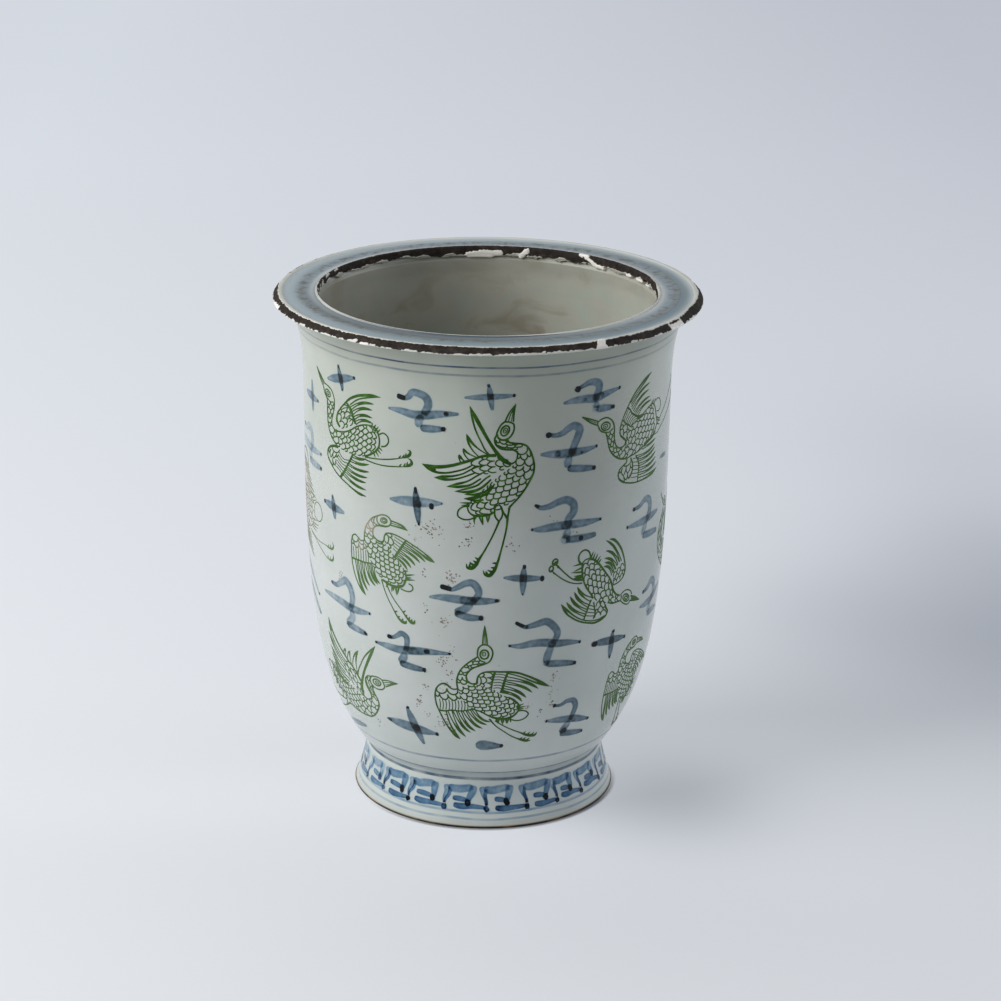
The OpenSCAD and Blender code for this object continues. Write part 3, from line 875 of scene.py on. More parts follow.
# The clouds, brushed in slate-grey cobalt. Each is a hook that falls to a long bar, and a tail that turns
# back under it.
def cloud(hook, bar, tail, pools, pale=1.0, broad=1.0):
    """Strokes of one cloud, from its hook's, bar's and tail's points as (round, up). Pale multiplies its
    ink, and broad the width of its hook."""
    def along(points, widths, inks):
        steps = np.linspace(0, 1, len(points))
        return [(s, z, np.interp(step, np.linspace(0, 1, len(widths)), widths),
                 pale * np.interp(step, np.linspace(0, 1, len(inks)), inks))
                for (s, z), step in zip(points, steps)]

    middle = len(tail) // 2
    falls = [broad * wide for wide in (3.0, 4.2, 5.6, 6.6, 7.2, 7.2, 6.8, 5.6)]
    strokes = [along(hook + [tail[0]], falls, (0.75, 0.52, 0.46, 0.5, 0.54, 0.5, 0.5)),
               along(bar, (1.8, 5.6, 7.2, 7.4, 6.2, 2.2), (0.5, 0.44, 0.5, 0.56, 0.5, 0.5)),
               along(tail[:middle + 1], (5.6, 7.2, 6.0), (0.4, 0.42, 0.5)),
               along(tail[middle:], (6.0, 6.8, 6.0, 4.0), (0.66, 0.5, 0.48, 0.62))]
    return strokes + [pool(*spot) for spot in pools]


CLOUDS = [
    cloud([(-68.7, 356.8), (-62.2, 356.2), (-58.8, 357.8), (-55.4, 361.5), (-49.8, 361.2), (-44.8, 358.5),
           (-43.3, 354), (-45, 349)],
          [(-76, 346.5), (-66, 346), (-55, 344.5), (-46, 345), (-34, 347), (-20, 348)],
          [(-48, 345), (-51, 338.5), (-50, 334.8), (-41, 335), (-32, 335.5)],
          [(-64.5, 357, 8, 3.8, -12), (-46.5, 345.5, 6, 5.5, 60, 0.2), (-30, 347.5, 4, 4.2, 80),
           (-32, 335.6, 4.6, 3.8), (-75, 346.6, 2.6, 2.0, 0, 0.4)]),
    cloud([(67.7, 364), (72.7, 365.8), (76.7, 367.5), (81.6, 367.5), (86, 365), (86.6, 361), (85, 356.8)],
          [(56.3, 353.8), (65.3, 355), (76.1, 355), (83.5, 354.2), (92.5, 356), (107, 358.4)],
          [(84.4, 351.5), (85, 348.8), (84.6, 345.6), (91.8, 345.2), (101.4, 344.4)],
          [(68, 363.6, 6, 5, -30), (84.5, 355, 7, 6, 20, 0.25), (106.6, 358.3, 3.4, 3.4),
           (101, 344.6, 4, 4.4, 80), (90, 356, 4, 4, 0, 0.35), (85, 346, 6, 5, -10, 0.35),
           (75, 354.6, 4, 2.6, 0, 0.3)]),
    cloud([(46.4, 330.8), (51.6, 329.8), (57.2, 331), (62.2, 334.2), (66.8, 335.5), (71.1, 332.5),
           (69.9, 327.2), (67.1, 321)],
          [(39.3, 316), (46.4, 315.8), (53.5, 315.2), (65.6, 315), (73.9, 315.2), (86.3, 316.6)],
          [(64, 312.8), (62.2, 308.8), (61.4, 303.2), (73, 301.6), (85, 300.2)],
          [(46, 330.6, 5.4, 5, 10), (65.5, 315, 8, 6.5, 0, 0.3), (86.4, 316.8, 3, 2.8),
           (84.6, 300.2, 4.4, 3.8), (73.5, 314, 3.6, 2.8, -20, 0.4), (53.5, 315.4, 5.4, 5, 0, 0.4)]),
    cloud([(36.8, 277), (40.8, 274.8), (47.3, 275), (55, 277.8), (61.9, 278.5), (67.4, 274.5),
           (67.7, 268.5), (63.4, 263)],
          [(34, 258), (41.1, 257.8), (49.8, 258.5), (61.2, 258.8), (79.5, 258.2), (92.5, 258.4)],
          [(64.3, 255.8), (62.8, 252), (61.4, 247.2), (74.8, 246.6), (89.1, 247.2)],
          [(38, 276.2, 5, 2.4, -30), (62, 258.2, 10, 6, 0, 0.3), (74.8, 246.6, 4.6, 4.2),
           (61.6, 247.6, 8.4, 8, 0, 0.4), (92.2, 258.4, 3, 2.6), (34.6, 258, 2.8, 2.6, 0, 0.7)]),
    cloud([(-34.6, 212.5), (-25.4, 210.5), (-19.8, 213.2), (-14.8, 216), (-10.2, 216.6), (-6.5, 213.4),
           (-4.9, 208.6)],
          [(-43.9, 202.8), (-34, 203.5), (-24.7, 203.2), (-12.7, 202.2), (0.3, 202.2), (11.8, 202.6)],
          [(-10, 201), (-14, 196.5), (-23.5, 192), (-12, 188.6), (-2.5, 188.4)],
          [(-30, 211.6, 10, 4.2, -12, 0.95), (-13, 202.4, 14, 6.4, 0, 0.34), (8.8, 202.5, 3.8, 2.8),
           (-3, 188.4, 4.8, 4.6)], broad=0.9),
    cloud([(23.5, 184), (32.2, 180), (36.8, 180.8), (42.1, 182), (47.9, 183), (54.4, 178.4),
           (58.1, 172.2)],
          [(18.6, 165.2), (26.9, 164.5), (37.4, 165.8), (47, 165.6), (58, 163.6), (68, 162.8),
           (79, 161.4)],
          [(54, 163), (51, 155), (49.6, 147.4), (62, 146.2), (76, 144.2)],
          [(27, 182.4, 9, 2.8, -28, 0.95), (54, 163.8, 8, 7, 30, 0.35), (78.6, 161.4, 3.4, 3.2),
           (50, 148, 6, 5, 0, 0.4), (75.6, 144.2, 4, 3.4), (32.5, 180.2, 3.6, 3, 0, 0.45),
           (19.4, 165.2, 3, 2.4, 0, 0.8)], broad=0.92),
    cloud([(-80.4, 164), (-75.8, 164.2), (-70.8, 167), (-67.7, 169), (-63.7, 167), (-63.1, 161.2)],
          [(-93.4, 156.5), (-82.6, 155.8), (-70.2, 155), (-56.9, 156.3), (-46.4, 157.2), (-26.6, 157.4)],
          [(-65, 154), (-67.1, 148.4), (-71.1, 144), (-60, 142.2), (-48.9, 141.2)],
          [(-78.6, 164.2, 5.6, 3.6), (-58, 156, 12, 5.4, 0, 0.3), (-46.2, 157.2, 6, 3.8, 0, 0.92),
           (-27.6, 157.5, 3, 2), (-49.2, 141.2, 4.4, 4.2), (-92.4, 156.4, 3, 2.4, 0, 0.8)], broad=0.74),
    cloud([(-144.1, 192), (-136.4, 191.8), (-129, 195.8), (-123.1, 199), (-118.8, 196), (-116, 189.2)],
          [(-158, 180.6), (-142.9, 180.5), (-128.3, 179.3), (-120, 178), (-108.2, 178), (-96.5, 179)],
          [(-118, 177), (-117, 171.2), (-124.9, 163.2), (-114, 162), (-102.7, 160.6)],
          [(-143, 192, 3, 2.6, 0, 0.5), (-119, 178, 7, 5, 0, 0.3), (-97.3, 178.8, 2.8, 2.4),
           (-103.2, 160.8, 4.6, 2.8, -40), (-124, 163.4, 4, 3.6, 0, 0.3)], 0.78),
    cloud([(129, 257), (137, 257.5), (146, 261), (152, 258.5), (154, 252), (151, 245)],
          [(121, 244.5), (135, 244), (148, 244), (158, 244.5), (171, 245)],
          [(149, 243), (145.5, 237), (143.5, 232), (156, 230.5), (171, 229)],
          [(129.5, 257, 4, 3.4), (150, 244.5, 6, 5, 0, 0.5), (122, 244.5, 3, 3)], 0.85),
    cloud([(61, 109), (67, 108.5), (73, 111), (79.5, 110.5), (83, 105), (82, 98)],
          [(55, 95.5), (65, 95), (76, 94), (84, 93), (92, 91), (102, 89)],
          [(80, 92), (76.5, 86), (73, 81), (86, 79), (99, 77.5)],
          [(61.5, 109, 4, 3.6), (81, 94, 5.5, 5, 0, 0.35), (56, 95.5, 3.4, 3), (101.5, 89, 3.4, 3),
           (99, 77.6, 3.4, 3), (76, 83, 7, 6, 40, 0.6)], broad=0.76),
    cloud([(152, 183), (159, 184), (167, 188), (174, 185), (176, 177)],
          [(148, 171.5), (160, 171), (172, 172), (184, 175), (196, 177)],
          [(172, 171), (168, 165), (166, 161), (178, 160), (190, 159)],
          [(152.5, 183, 4, 3.4), (172, 172, 6, 5, 0, 0.5), (190, 159, 3.4, 3)], 0.85),
    cloud([(-197, 304), (-190, 303), (-182, 306), (-174, 304), (-172, 296)],
          [(-206, 293), (-194, 291.5), (-182, 291), (-168, 291), (-153, 291.5)],
          [(-174, 290), (-178, 285), (-180, 280.5), (-167, 280), (-154, 280)],
          [(-196, 304, 4, 3.4), (-154, 291.5, 3, 2.6), (-154.5, 280, 3.6, 3.2)], 0.7),
    cloud([(-240, 196), (-232, 195), (-224, 199), (-217, 196), (-216, 189)],
          [(-252, 186), (-238, 185), (-222, 185), (-204, 189), (-191, 184), (-172, 172)],
          [(-218, 184), (-221, 177), (-222, 171), (-200, 172), (-187, 164), (-173, 155.5)],
          [(-240, 196, 4, 3.4), (-172, 172.4, 3.4, 2.8), (-173.5, 156, 2.8, 2)], 0.72),
]


# The small crosses, brushed in the same cobalt between the clouds and the cranes: two brush marks, pointed
# at one end and pooled at the other. Three of them are a single mark.
def mark(start, end, wide, ink=0.5, bow=0.0):
    """One brush mark between two places, broadest in its middle, which may bow to the side."""
    (a, b), (c, d) = start, end
    middle = ((a + c) / 2 - bow * (d - b), (b + d) / 2 + bow * (c - a))
    return [(a, b, 1.4, ink), ((a + middle[0]) / 2, (b + middle[1]) / 2, wide * 0.95, ink),
            (*middle, wide * 1.1, ink * 1.1), ((c + middle[0]) / 2, (d + middle[1]) / 2, wide * 0.9, ink),
            (c, d, 1.8, ink)]


CROSSES = [
    [mark((-141, 355), (-106, 364), 6.4), mark((-124, 370), (-121, 350), 4.6, 0.6),
     pool(-107, 363.6, 3.6, 3), pool(-123.4, 369, 4, 2.2, -80, 0.6), pool(-121.6, 351, 3, 2.4, -80, 0.4)],
    [mark((-17, 361), (21, 363), 4.6, 0.45), mark((1, 372), (4, 351), 4.4, 0.5), pool(19.5, 363, 3.4, 3),
     pool(1, 371, 4, 2.4, -70, 0.6), pool(3, 362, 4.4, 4, 0, 0.6)],
    [mark((-76, 276), (-32, 278), 7.4, 0.42), mark((-54, 289), (-51, 259), 5.4, 0.6),
     pool(-41, 275, 4.6, 5.4, 0, 1.0), pool(-51, 260, 2.8, 2.8), pool(-53.5, 286, 6, 2.4, -80, 0.95),
     pool(-33, 278, 2.6, 2.0, 0, 0.6), pool(-51.5, 276, 6, 6, 0, 0.6)],
    [mark((-151, 256), (-121, 254), 6.2, 0.42), mark((-137, 264), (-134, 245), 5.2, 0.5),
     pool(-149, 256, 3.4, 4), pool(-137, 263, 4, 2.4, -80, 0.45)],
    [mark((13, 221), (45, 218.5), 5.2, 0.48), mark((29, 230), (28.5, 206), 5.0, 0.5),
     pool(43.5, 218.5, 4.4, 5.2), pool(29.4, 229, 4.4, 2.6, -85, 0.95), pool(28.6, 207, 2.6, 2.4),
     pool(28, 219.5, 5, 5, 0, 0.3)],
    [mark((90, 157), (131, 153), 6.2, 0.55), mark((113, 163), (113, 139), 5.4, 0.5),
     pool(94, 156, 7, 4.4, -10, 0.98), pool(129.5, 153, 3.6, 3), pool(113, 140.4, 3, 2.8),
     pool(114, 162, 3.4, 3, -70, 0.95), pool(113, 154, 6, 6, 0, 0.65)],
    [mark((-94, 89.5), (-42, 84), 8.4, 0.44), mark((-69, 106), (-58, 71), 6.4, 0.48),
     pool(-43, 84, 4.2, 3.6), pool(-67.8, 105, 3.2, 2.4, -72), pool(-90, 89, 5, 2.6, -8, 0.4),
     pool(-63, 87, 7, 7, 0, 0.6)],
    [mark((-188, 333), (-157, 332.5), 6.0, 0.42), mark((-170, 347), (-169, 321), 4.8, 0.5),
     pool(-158, 332.5, 3.2, 3)],
    [[(-8, 75.5, 6.5, 0.5), (-3, 76, 9.4, 0.5), (6, 75.8, 8.2, 0.5), (13, 75.3, 5.0, 0.55),
      (18, 75.2, 3.4, 0.3)], pool(16.5, 75.3, 4.4, 3.6)],
    [[(-176, 64, 1.0, 0.45), (-160, 66.5, 5.4, 0.45), (-145, 69, 5.4, 0.45), (-131, 71, 2.0, 0.5)]],
    [[(170, 287, 2.0, 0.3), (178, 286.5, 3.6, 0.6), (188, 285.5, 2.4, 0.5)]],
]

for number, strokes in enumerate(CLOUDS, 1):
    brushed(f"blue_cloud_{number:02d}", strokes, slate_cobalt, 1.06, 1.05)
for number, strokes in enumerate(CROSSES, 1):
    brushed(f"blue_cross_{number:02d}", strokes, slate_cobalt, 1.15, 1.08)


# The key fret round the foot, in a stronger blue: each unit is a post, a thick top bar that falls to a
# dark pool, a short bar inside, and a long bar along the bottom to the next unit's post.
FRET_R = 98.0
# Each unit's post foot, top bar's two ends, inner pool's place, inner bar's and bottom bar's ends, and ink
UNITS = [(-119.5, -115, -97, -99, 20, -111, -101, -113, 15, 0.75),
         (-91.5, -88.5, -68, -70.5, 19.8, -85, -72, -85, 14.6, 1.0),
         (-63, -60, -39.5, -41.3, 19.6, -56.5, -43, -57.5, 16, 0.95),
         (-31, -28.5, -8, -12.2, 18.8, -25, -14, -24, 16.4, 1.0),
         (2.5, 0.8, 21.5, 18.6, 19.4, 8.5, 16.5, 9, 15, 1.0),
         (35, 32.6, 55, 51.6, 19.2, 40.5, 50, 41, 15, 1.0),
         (62, 60, 77, 76.6, 20.2, 66, 75, 66, 16.8, 1.0),
         (88.8, 86, 106, 107.5, 22, 95, 106, 93, 17.4, 0.95),
         (118, 116, 136, 134, 20, 123, 132, 124, 15.4, 0.85)]
BACK_UNITS = 12
whole_round = 2 * math.pi * FRET_R
first, last = UNITS[0][0], UNITS[-1][0]
gap = (first + whole_round - last) / (BACK_UNITS + 1)
j = rng.uniform
for k in range(1, BACK_UNITS + 1):
    s = last + gap * k
    UNITS.append((s, s + j(-2, 3), s + j(19, 22), s + j(17, 19), j(19, 20.5), s + j(5.5, 7),
                  s + j(14, 16), s + j(5.5, 7), j(14.6, 16.5), j(0.85, 1.05)))

for number, (s, left, right, spot, spot_z, inner, inner_end, low, low_z, ink) in enumerate(UNITS, 1):
    end = UNITS[number][0] if number < len(UNITS) else first + whole_round
    middle = (left + right) / 2
    strokes = [
        [(left - 1.8, 32.2, 6.0, 0.42 * ink), (left - 0.9, 27, 4.6, 0.42 * ink),
         (s - 0.5, 20.5, 2.6, 0.55 * ink), (s, 15, 1.6, 0.8 * ink)],
        [(left + 1.6, 30, 3.0, 0.6 * ink), (left + 0.8, 24, 2.8, 0.55 * ink),
         (s + 0.3, 19, 2.2, 0.7 * ink), (s, 14.6, 1.8, 0.9 * ink)],
        [(left - 0.4, 30.2, 5.2, 0.55 * ink), (left + 5, 28.8 + j(-0.3, 0.6), 6.2, 0.48 * ink),
         (middle + 1, 29.2 + j(-0.2, 0.8), 6.4, 0.45 * ink), (right, 31.2, 5.0, 0.5 * ink)],
        [(right + 0.4, 33, 6.4, 0.42 * ink), (right - 0.6, 27.4, 6.0, 0.45 * ink),
         (spot + 0.8, 22, 4.4, 0.6 * ink), (spot, 18.6, 3.4, 0.9 * ink)],
        [(inner, 21.8, 3.2, 0.72 * ink), ((inner + inner_end) / 2, 21.6, 4.2, 0.62 * ink),
         (inner_end + 1, 20.8, 3.4, 0.7 * ink)],
        [(low, low_z + 0.4, 3.4, 0.8 * ink), (low + 5, low_z - 0.4, 4.6, 0.7 * ink),
         ((low + end) / 2 + 2, low_z - 0.2, 3.8, 0.6 * ink), (end, 15.2, 2.6, 0.7 * ink)],
        pool(spot, spot_z - 0.2, 5.6 + j(-0.4, 1.4), 4.4 + j(-0.6, 0.6), -60 + j(-20, 20), ink),
        pool(spot + j(-1.5, 0.5), spot_z + j(1.0, 2.5), 3.6, 3.0, -80 + j(-20, 20), 0.8 * ink),
        pool(end, 14.4, 5.0 + j(-0.4, 1.0), 4.0 + j(-0.4, 0.4), -70 + j(-20, 20), ink)]
    brushed(f"fret_unit_{number:02d}", strokes, bright_cobalt, 1.16, 1.02, foot_out, FRET_R)


# The cranes. They were drawn over the fired glaze with a fine brush in green enamel, which stands up as
# a thin raised line. Each is outlined, ringed round the eye, filled with rows of scales between two
# edges, and finished with feathers that are heavy towards the tip. Numbers are (round, up) or
# (round, up, width of the line) in mm, and a line's own width may stand before its points.
PEN = 1.15
PEN_STEP = 0.8


def pen(line):
    """A line's points with its width at each, where they don't give it: the number that the line starts
    with, or else the pen's own."""
    width, points = (PEN, line) if isinstance(line[0], tuple) else (line[0], line[1:])
    return [(*point, width) if len(point) == 2 else point for point in points]


def oval(s, z, long, wide, tilt=0.0, width=1.1):
    """A closed ring, tilted from level by so many degrees."""
    turn, lean = np.linspace(0, 2 * math.pi, 17), math.radians(tilt)
    x, y = np.cos(turn) * long / 2, np.sin(turn) * wide / 2
    return [(s + a * math.cos(lean) - b * math.sin(lean), z + a * math.sin(lean) + b * math.cos(lean),
             width) for a, b in zip(x, y)]


def blot(s, z, long, wide, tilt=0.0):
    """A filled spot."""
    a, b = math.cos(math.radians(tilt)) * long / 2, math.sin(math.radians(tilt)) * long / 2
    return [(s - a, z - b, wide * 0.45), (s - a / 2, z - b / 2, wide * 0.9), (s, z, wide),
            (s + a / 2, z + b / 2, wide * 0.9), (s + a, z + b, wide * 0.45)]


def even(points, count):
    """Points at equal distances along a smooth curve."""
    curve = flow(points, 0.5)[:, :2]
    reach = np.concatenate([[0], np.cumsum(np.linalg.norm(np.diff(curve, axis=0), axis=1))])
    at = np.linspace(0, reach[-1], count)
    return np.stack([np.interp(at, reach, curve[:, 0]), np.interp(at, reach, curve[:, 1])], axis=1)


def scales(one, two, rows, cell=5.0, width=0.95):
    """Rows of overlapping scales from the start to the end of two edges, each row set off by half."""
    fine = 8
    one, two = even(one, rows * fine + 1), even(two, rows * fine + 1)

    def at(t, u):
        k = min(max(t * fine, 0), rows * fine)
        low = min(int(k), rows * fine - 1)
        a = one[low] + (one[low + 1] - one[low]) * (k - low)
        b = two[low] + (two[low + 1] - two[low]) * (k - low)
        return a + (b - a) * u

    strokes = []
    for row in range(rows):
        across = np.linalg.norm(at(row, 0) - at(row, 1))
        count = max(1, round(across / cell))
        cuts = [k / count for k in range(count + 1)]
        if row % 2:
            cuts = [0.0] + [(k + 0.5) / count for k in range(count)] + [1.0]
        for low, high in zip(cuts, cuts[1:]):
            reach = 1.0 if high - low > 0.6 / count else 0.55
            wide = high - low
            marks = [(row - 0.05, low), (row + 0.55 * reach, low + 0.1 * wide),
                     (row + 0.92 * reach, low + 0.5 * wide), (row + 0.55 * reach, high - 0.1 * wide),
                     (row - 0.05, high)]
            strokes.append([(*at(t, u), width * (0.8 if k in (0, 4) else 1.1))
                            for k, (t, u) in enumerate(marks)])
    return strokes


def plumes(feathers, bow, heavy=1.9):
    """Two lines for each feather, given as its tip and the two sides of its root. They bow, and meet in
    a heavy tip."""
    strokes = []
    for tip, *root in feathers:
        for (s, z), share in zip(root, (1.0, 0.8)):
            ds, dz = tip[0] - s, tip[1] - z
            # How far along each bend lies, its share of the bow, and the line's width there
            bends = ((0.35, 0.8, 1.0), (0.68, 0.85, heavy * share), (0.88, 0.4, heavy * 0.8 * share))
            strokes.append([(s, z, 0.9), *((s + ds * way + bow[0] * bent, z + dz * way + bow[1] * bent, wide)
                                           for way, bent, wide in bends), (*tip, 0.3)])
    return strokes


def spikes(pairs, width=1.1):
    """Short tapered barbs, each from its root to its point."""
    return [[(*root, width), ((root[0] + end[0]) / 2, (root[1] + end[1]) / 2, width * 0.85), (*end, 0.3)]
            for root, end in pairs]


RISING = [
    [(13.2, 342.6), (15.6, 348.5), (20.9, 356.4, 0.5)], [(19.3, 342.5), (19.7, 349), (20.9, 356.4, 0.5)],
    [0.7, (15.6, 343), (17.6, 349.5), (20.2, 354.5)], [0.6, (17.8, 342.8), (18.9, 350)],
    [(18.4, 349.5, 0.8), (19.6, 352.5, 1.7), (20.8, 356, 0.4)],
    [1.25, (13, 342.7), (16.5, 342.3), (19.3, 341), (20, 337.5), (18.5, 333), (15.5, 329.7), (12, 328.8),
     (9, 330), (7.3, 333), (8.5, 337), (10.5, 340.5), (13, 342.7)],
    oval(13.3, 335.8, 8.2, 5.6, 62, 1.35), oval(13.5, 336, 4.2, 2.6, 62, 0.85),
    blot(13.5, 336, 1.8, 0.9, 62),
    [1.4, (7.3, 333), (5.8, 329), (7, 325, 1.6), (10.5, 322.3, 1.8), (15, 321.2), (20, 320.8),
     (22.3, 319, 1.3), (22.6, 315, 1.1), (21, 311.8, 1.1), (18, 310, 1.3)],
    [1.4, (14.8, 330), (16, 327.2), (20, 326), (26, 325.2), (29.5, 323.5), (32, 320), (34.3, 314),
     (35.4, 308), (34.8, 302), (32, 296), (28.5, 290), (24.5, 284.5), (19.5, 279), (17.2, 276.5, 1.7)],
    *scales([(8, 333), (7, 327), (14, 321.5), (21, 320.5)],
            [(14, 330), (16.5, 327.5), (22, 325.8), (28, 324.5)], 5, 4.5),
    *scales([(22.5, 320), (21.5, 311), (13, 303.5), (5, 297), (-2, 290.5), (-8, 285), (-13, 280)],
            [(29.5, 323), (35.2, 309), (32.5, 297), (25, 286), (16, 279), (5, 272.5), (-10, 270.5)], 14,
            5.4),
    *scales([(16, 313), (7, 317), (-1, 316.3), (-8, 314.3), (-12, 312.5)],
            [(18, 309), (10, 305), (2, 303), (-5, 302.5), (-11, 303.5)], 5, 5.2),
    [(-12.5, 354.6, 0.4), (-8.3, 346, 2.6), (-3.5, 337, 2.5), (1.5, 328, 2.2), (7, 319.5, 2.5),
     (12, 313.5, 3.2), (18, 309.8, 2.2)],
    [(-12.5, 354.6, 0.4), (-10.8, 346, 1.5), (-8.5, 337, 1.2), (-4.5, 328, 1.1), (0.5, 319, 1.1),
     (3, 316.8, 1)],
    *plumes([((-14.8, 333), (1, 317.5), (-6, 316))], (-1.6, -1.5)),
    *plumes([((-17.3, 322), (-8, 315.6), (-13, 313.2))], (-1, -0.6), 1.6),
    *plumes([((-20.3, 317), (-15.5, 311.6), (-19, 311))], (-0.4, -0.4), 1.8),
    [(7, 317, 2.4), (2, 316.8, 2.2), (-4, 316, 1.8), (-10, 313.5, 2), (-17, 311, 2.1), (-27, 307.8, 2.3),
     (-37, 306.2, 2.6), (-44, 306.6, 1.7), (-48.4, 307.4, 0.3)],
    [(-48.4, 307.4, 0.3), (-43, 304.2, 2.2), (-38, 302.2, 1.9), (-31, 302, 1.5), (-22, 304, 1.3),
     (-14, 307, 1.2), (-10, 309.5, 1.1)],
    blot(-41, 304.8, 7, 2.6, -18),
    [(-39, 297.8, 0.3), (-33, 299, 1.8), (-26, 299.8, 1.6), (-18, 302, 1.2), (-10, 306.5, 1.1),
     (-3, 309.5, 1)],
    [(-39, 297.8, 0.3), (-32, 297, 2), (-24, 297.6, 1.5), (-15, 300.5, 1.2), (-8, 303.5, 1.2)],
    [(-29.3, 291.5, 0.3), (-22, 294, 1.8), (-14, 296.6, 1.3), (-7, 301, 1.2), (-1, 304.5, 1)],
    [(-29.3, 291.5, 0.3), (-20, 292, 2), (-12, 293.8, 1.5), (-4, 299, 1.2)],
    [(-23.4, 288.2, 0.3), (-14, 291, 1.6), (-7, 293.5, 1.4), (0, 299.5, 1.2), (3, 301.5, 1)],
    [(-23.4, 288.2, 0.3), (-13, 288.4, 2), (-5, 291, 1.7), (1, 296, 1.2)],
    [(-16, 286.2, 0.3), (-8, 289.3, 1.8), (-2, 293, 1.7), (3.5, 298.5, 1.2)],
    [(-16, 286.2, 0.3), (-7, 286.7, 2), (0, 289.5, 1.6), (4, 294, 1.2)],
    [(-16.5, 283, 0.4), (-9, 284, 2.4), (-3, 285.5, 1.8), (3, 290, 1.4), (6, 295, 1.2)],
    [(-16.5, 283, 0.4), (-8, 281.8, 1.6), (-2, 282.5, 1.3)],
    [(-13.8, 280, 1.2), (-13.8, 276), (-12.5, 272.5), (-9.5, 270.3, 1.6), (-3, 270.2, 2), (2, 270.8, 1.8),
     (6, 273, 1.4)],
    [(-12.3, 277), (-17, 276.6), (-20.8, 273), (-21, 269.5), (-17.5, 267), (-12, 267), (-9, 268.3)],
    *spikes([((-11, 279.8), (-19.5, 279.6)), ((-12, 278.4), (-18.5, 277.6)), ((-9, 270), (-8.6, 263)),
             ((-7, 270), (-9.2, 265.5)), ((-5.2, 270), (-2.4, 262.8)), ((-3, 270), (-2, 263)),
             ((0.3, 270.5), (1.2, 264.8)), ((2.6, 270.6), (1.6, 265))], 1.3),
    [1.2, (9.6, 265.5), (7, 269), (6.2, 273), (7.2, 277.5), (9.5, 278.5), (11.6, 275), (12, 270),
     (9.6, 265.5)],
    [(11, 277.5), (13, 272.5), (15.7, 268.2, 2)],
    [(17.2, 276.5, 1.8), (16.6, 272, 1.4), (15.8, 268, 1.8)],
    [(9.6, 265.5, 1.5), (6, 256.5, 1.2), (2, 248, 1.2), (-2, 240.5, 1.4), (-5, 235.5, 2),
     (-7.5, 231, 2.8), (-11, 228.4, 2.8), (-13.6, 228.8, 1.8), (-14.4, 232, 0.4)],
    [(16, 268, 1.8), (15.2, 260, 1.3), (13, 249, 1.3), (10.8, 240, 1.4), (8.6, 232, 1.9), (6, 226, 2.6),
     (2.5, 222.8, 2.8), (-0.4, 223.7, 1.8), (-1.8, 227, 0.4)],
    *spikes([((-5.5, 235.5), (-8, 237.2)), ((-7, 233), (-9.4, 234.6)), ((-9, 230.8), (-12, 233.4)),
             ((-12, 229.3), (-11.6, 232.9)), ((8.4, 232.6), (4.8, 232.8)), ((7, 228.8), (3.9, 229.2)),
             ((5, 225.6), (1.4, 227.2)), ((1.4, 223.8), (0.2, 226.4))], 1.7),
]

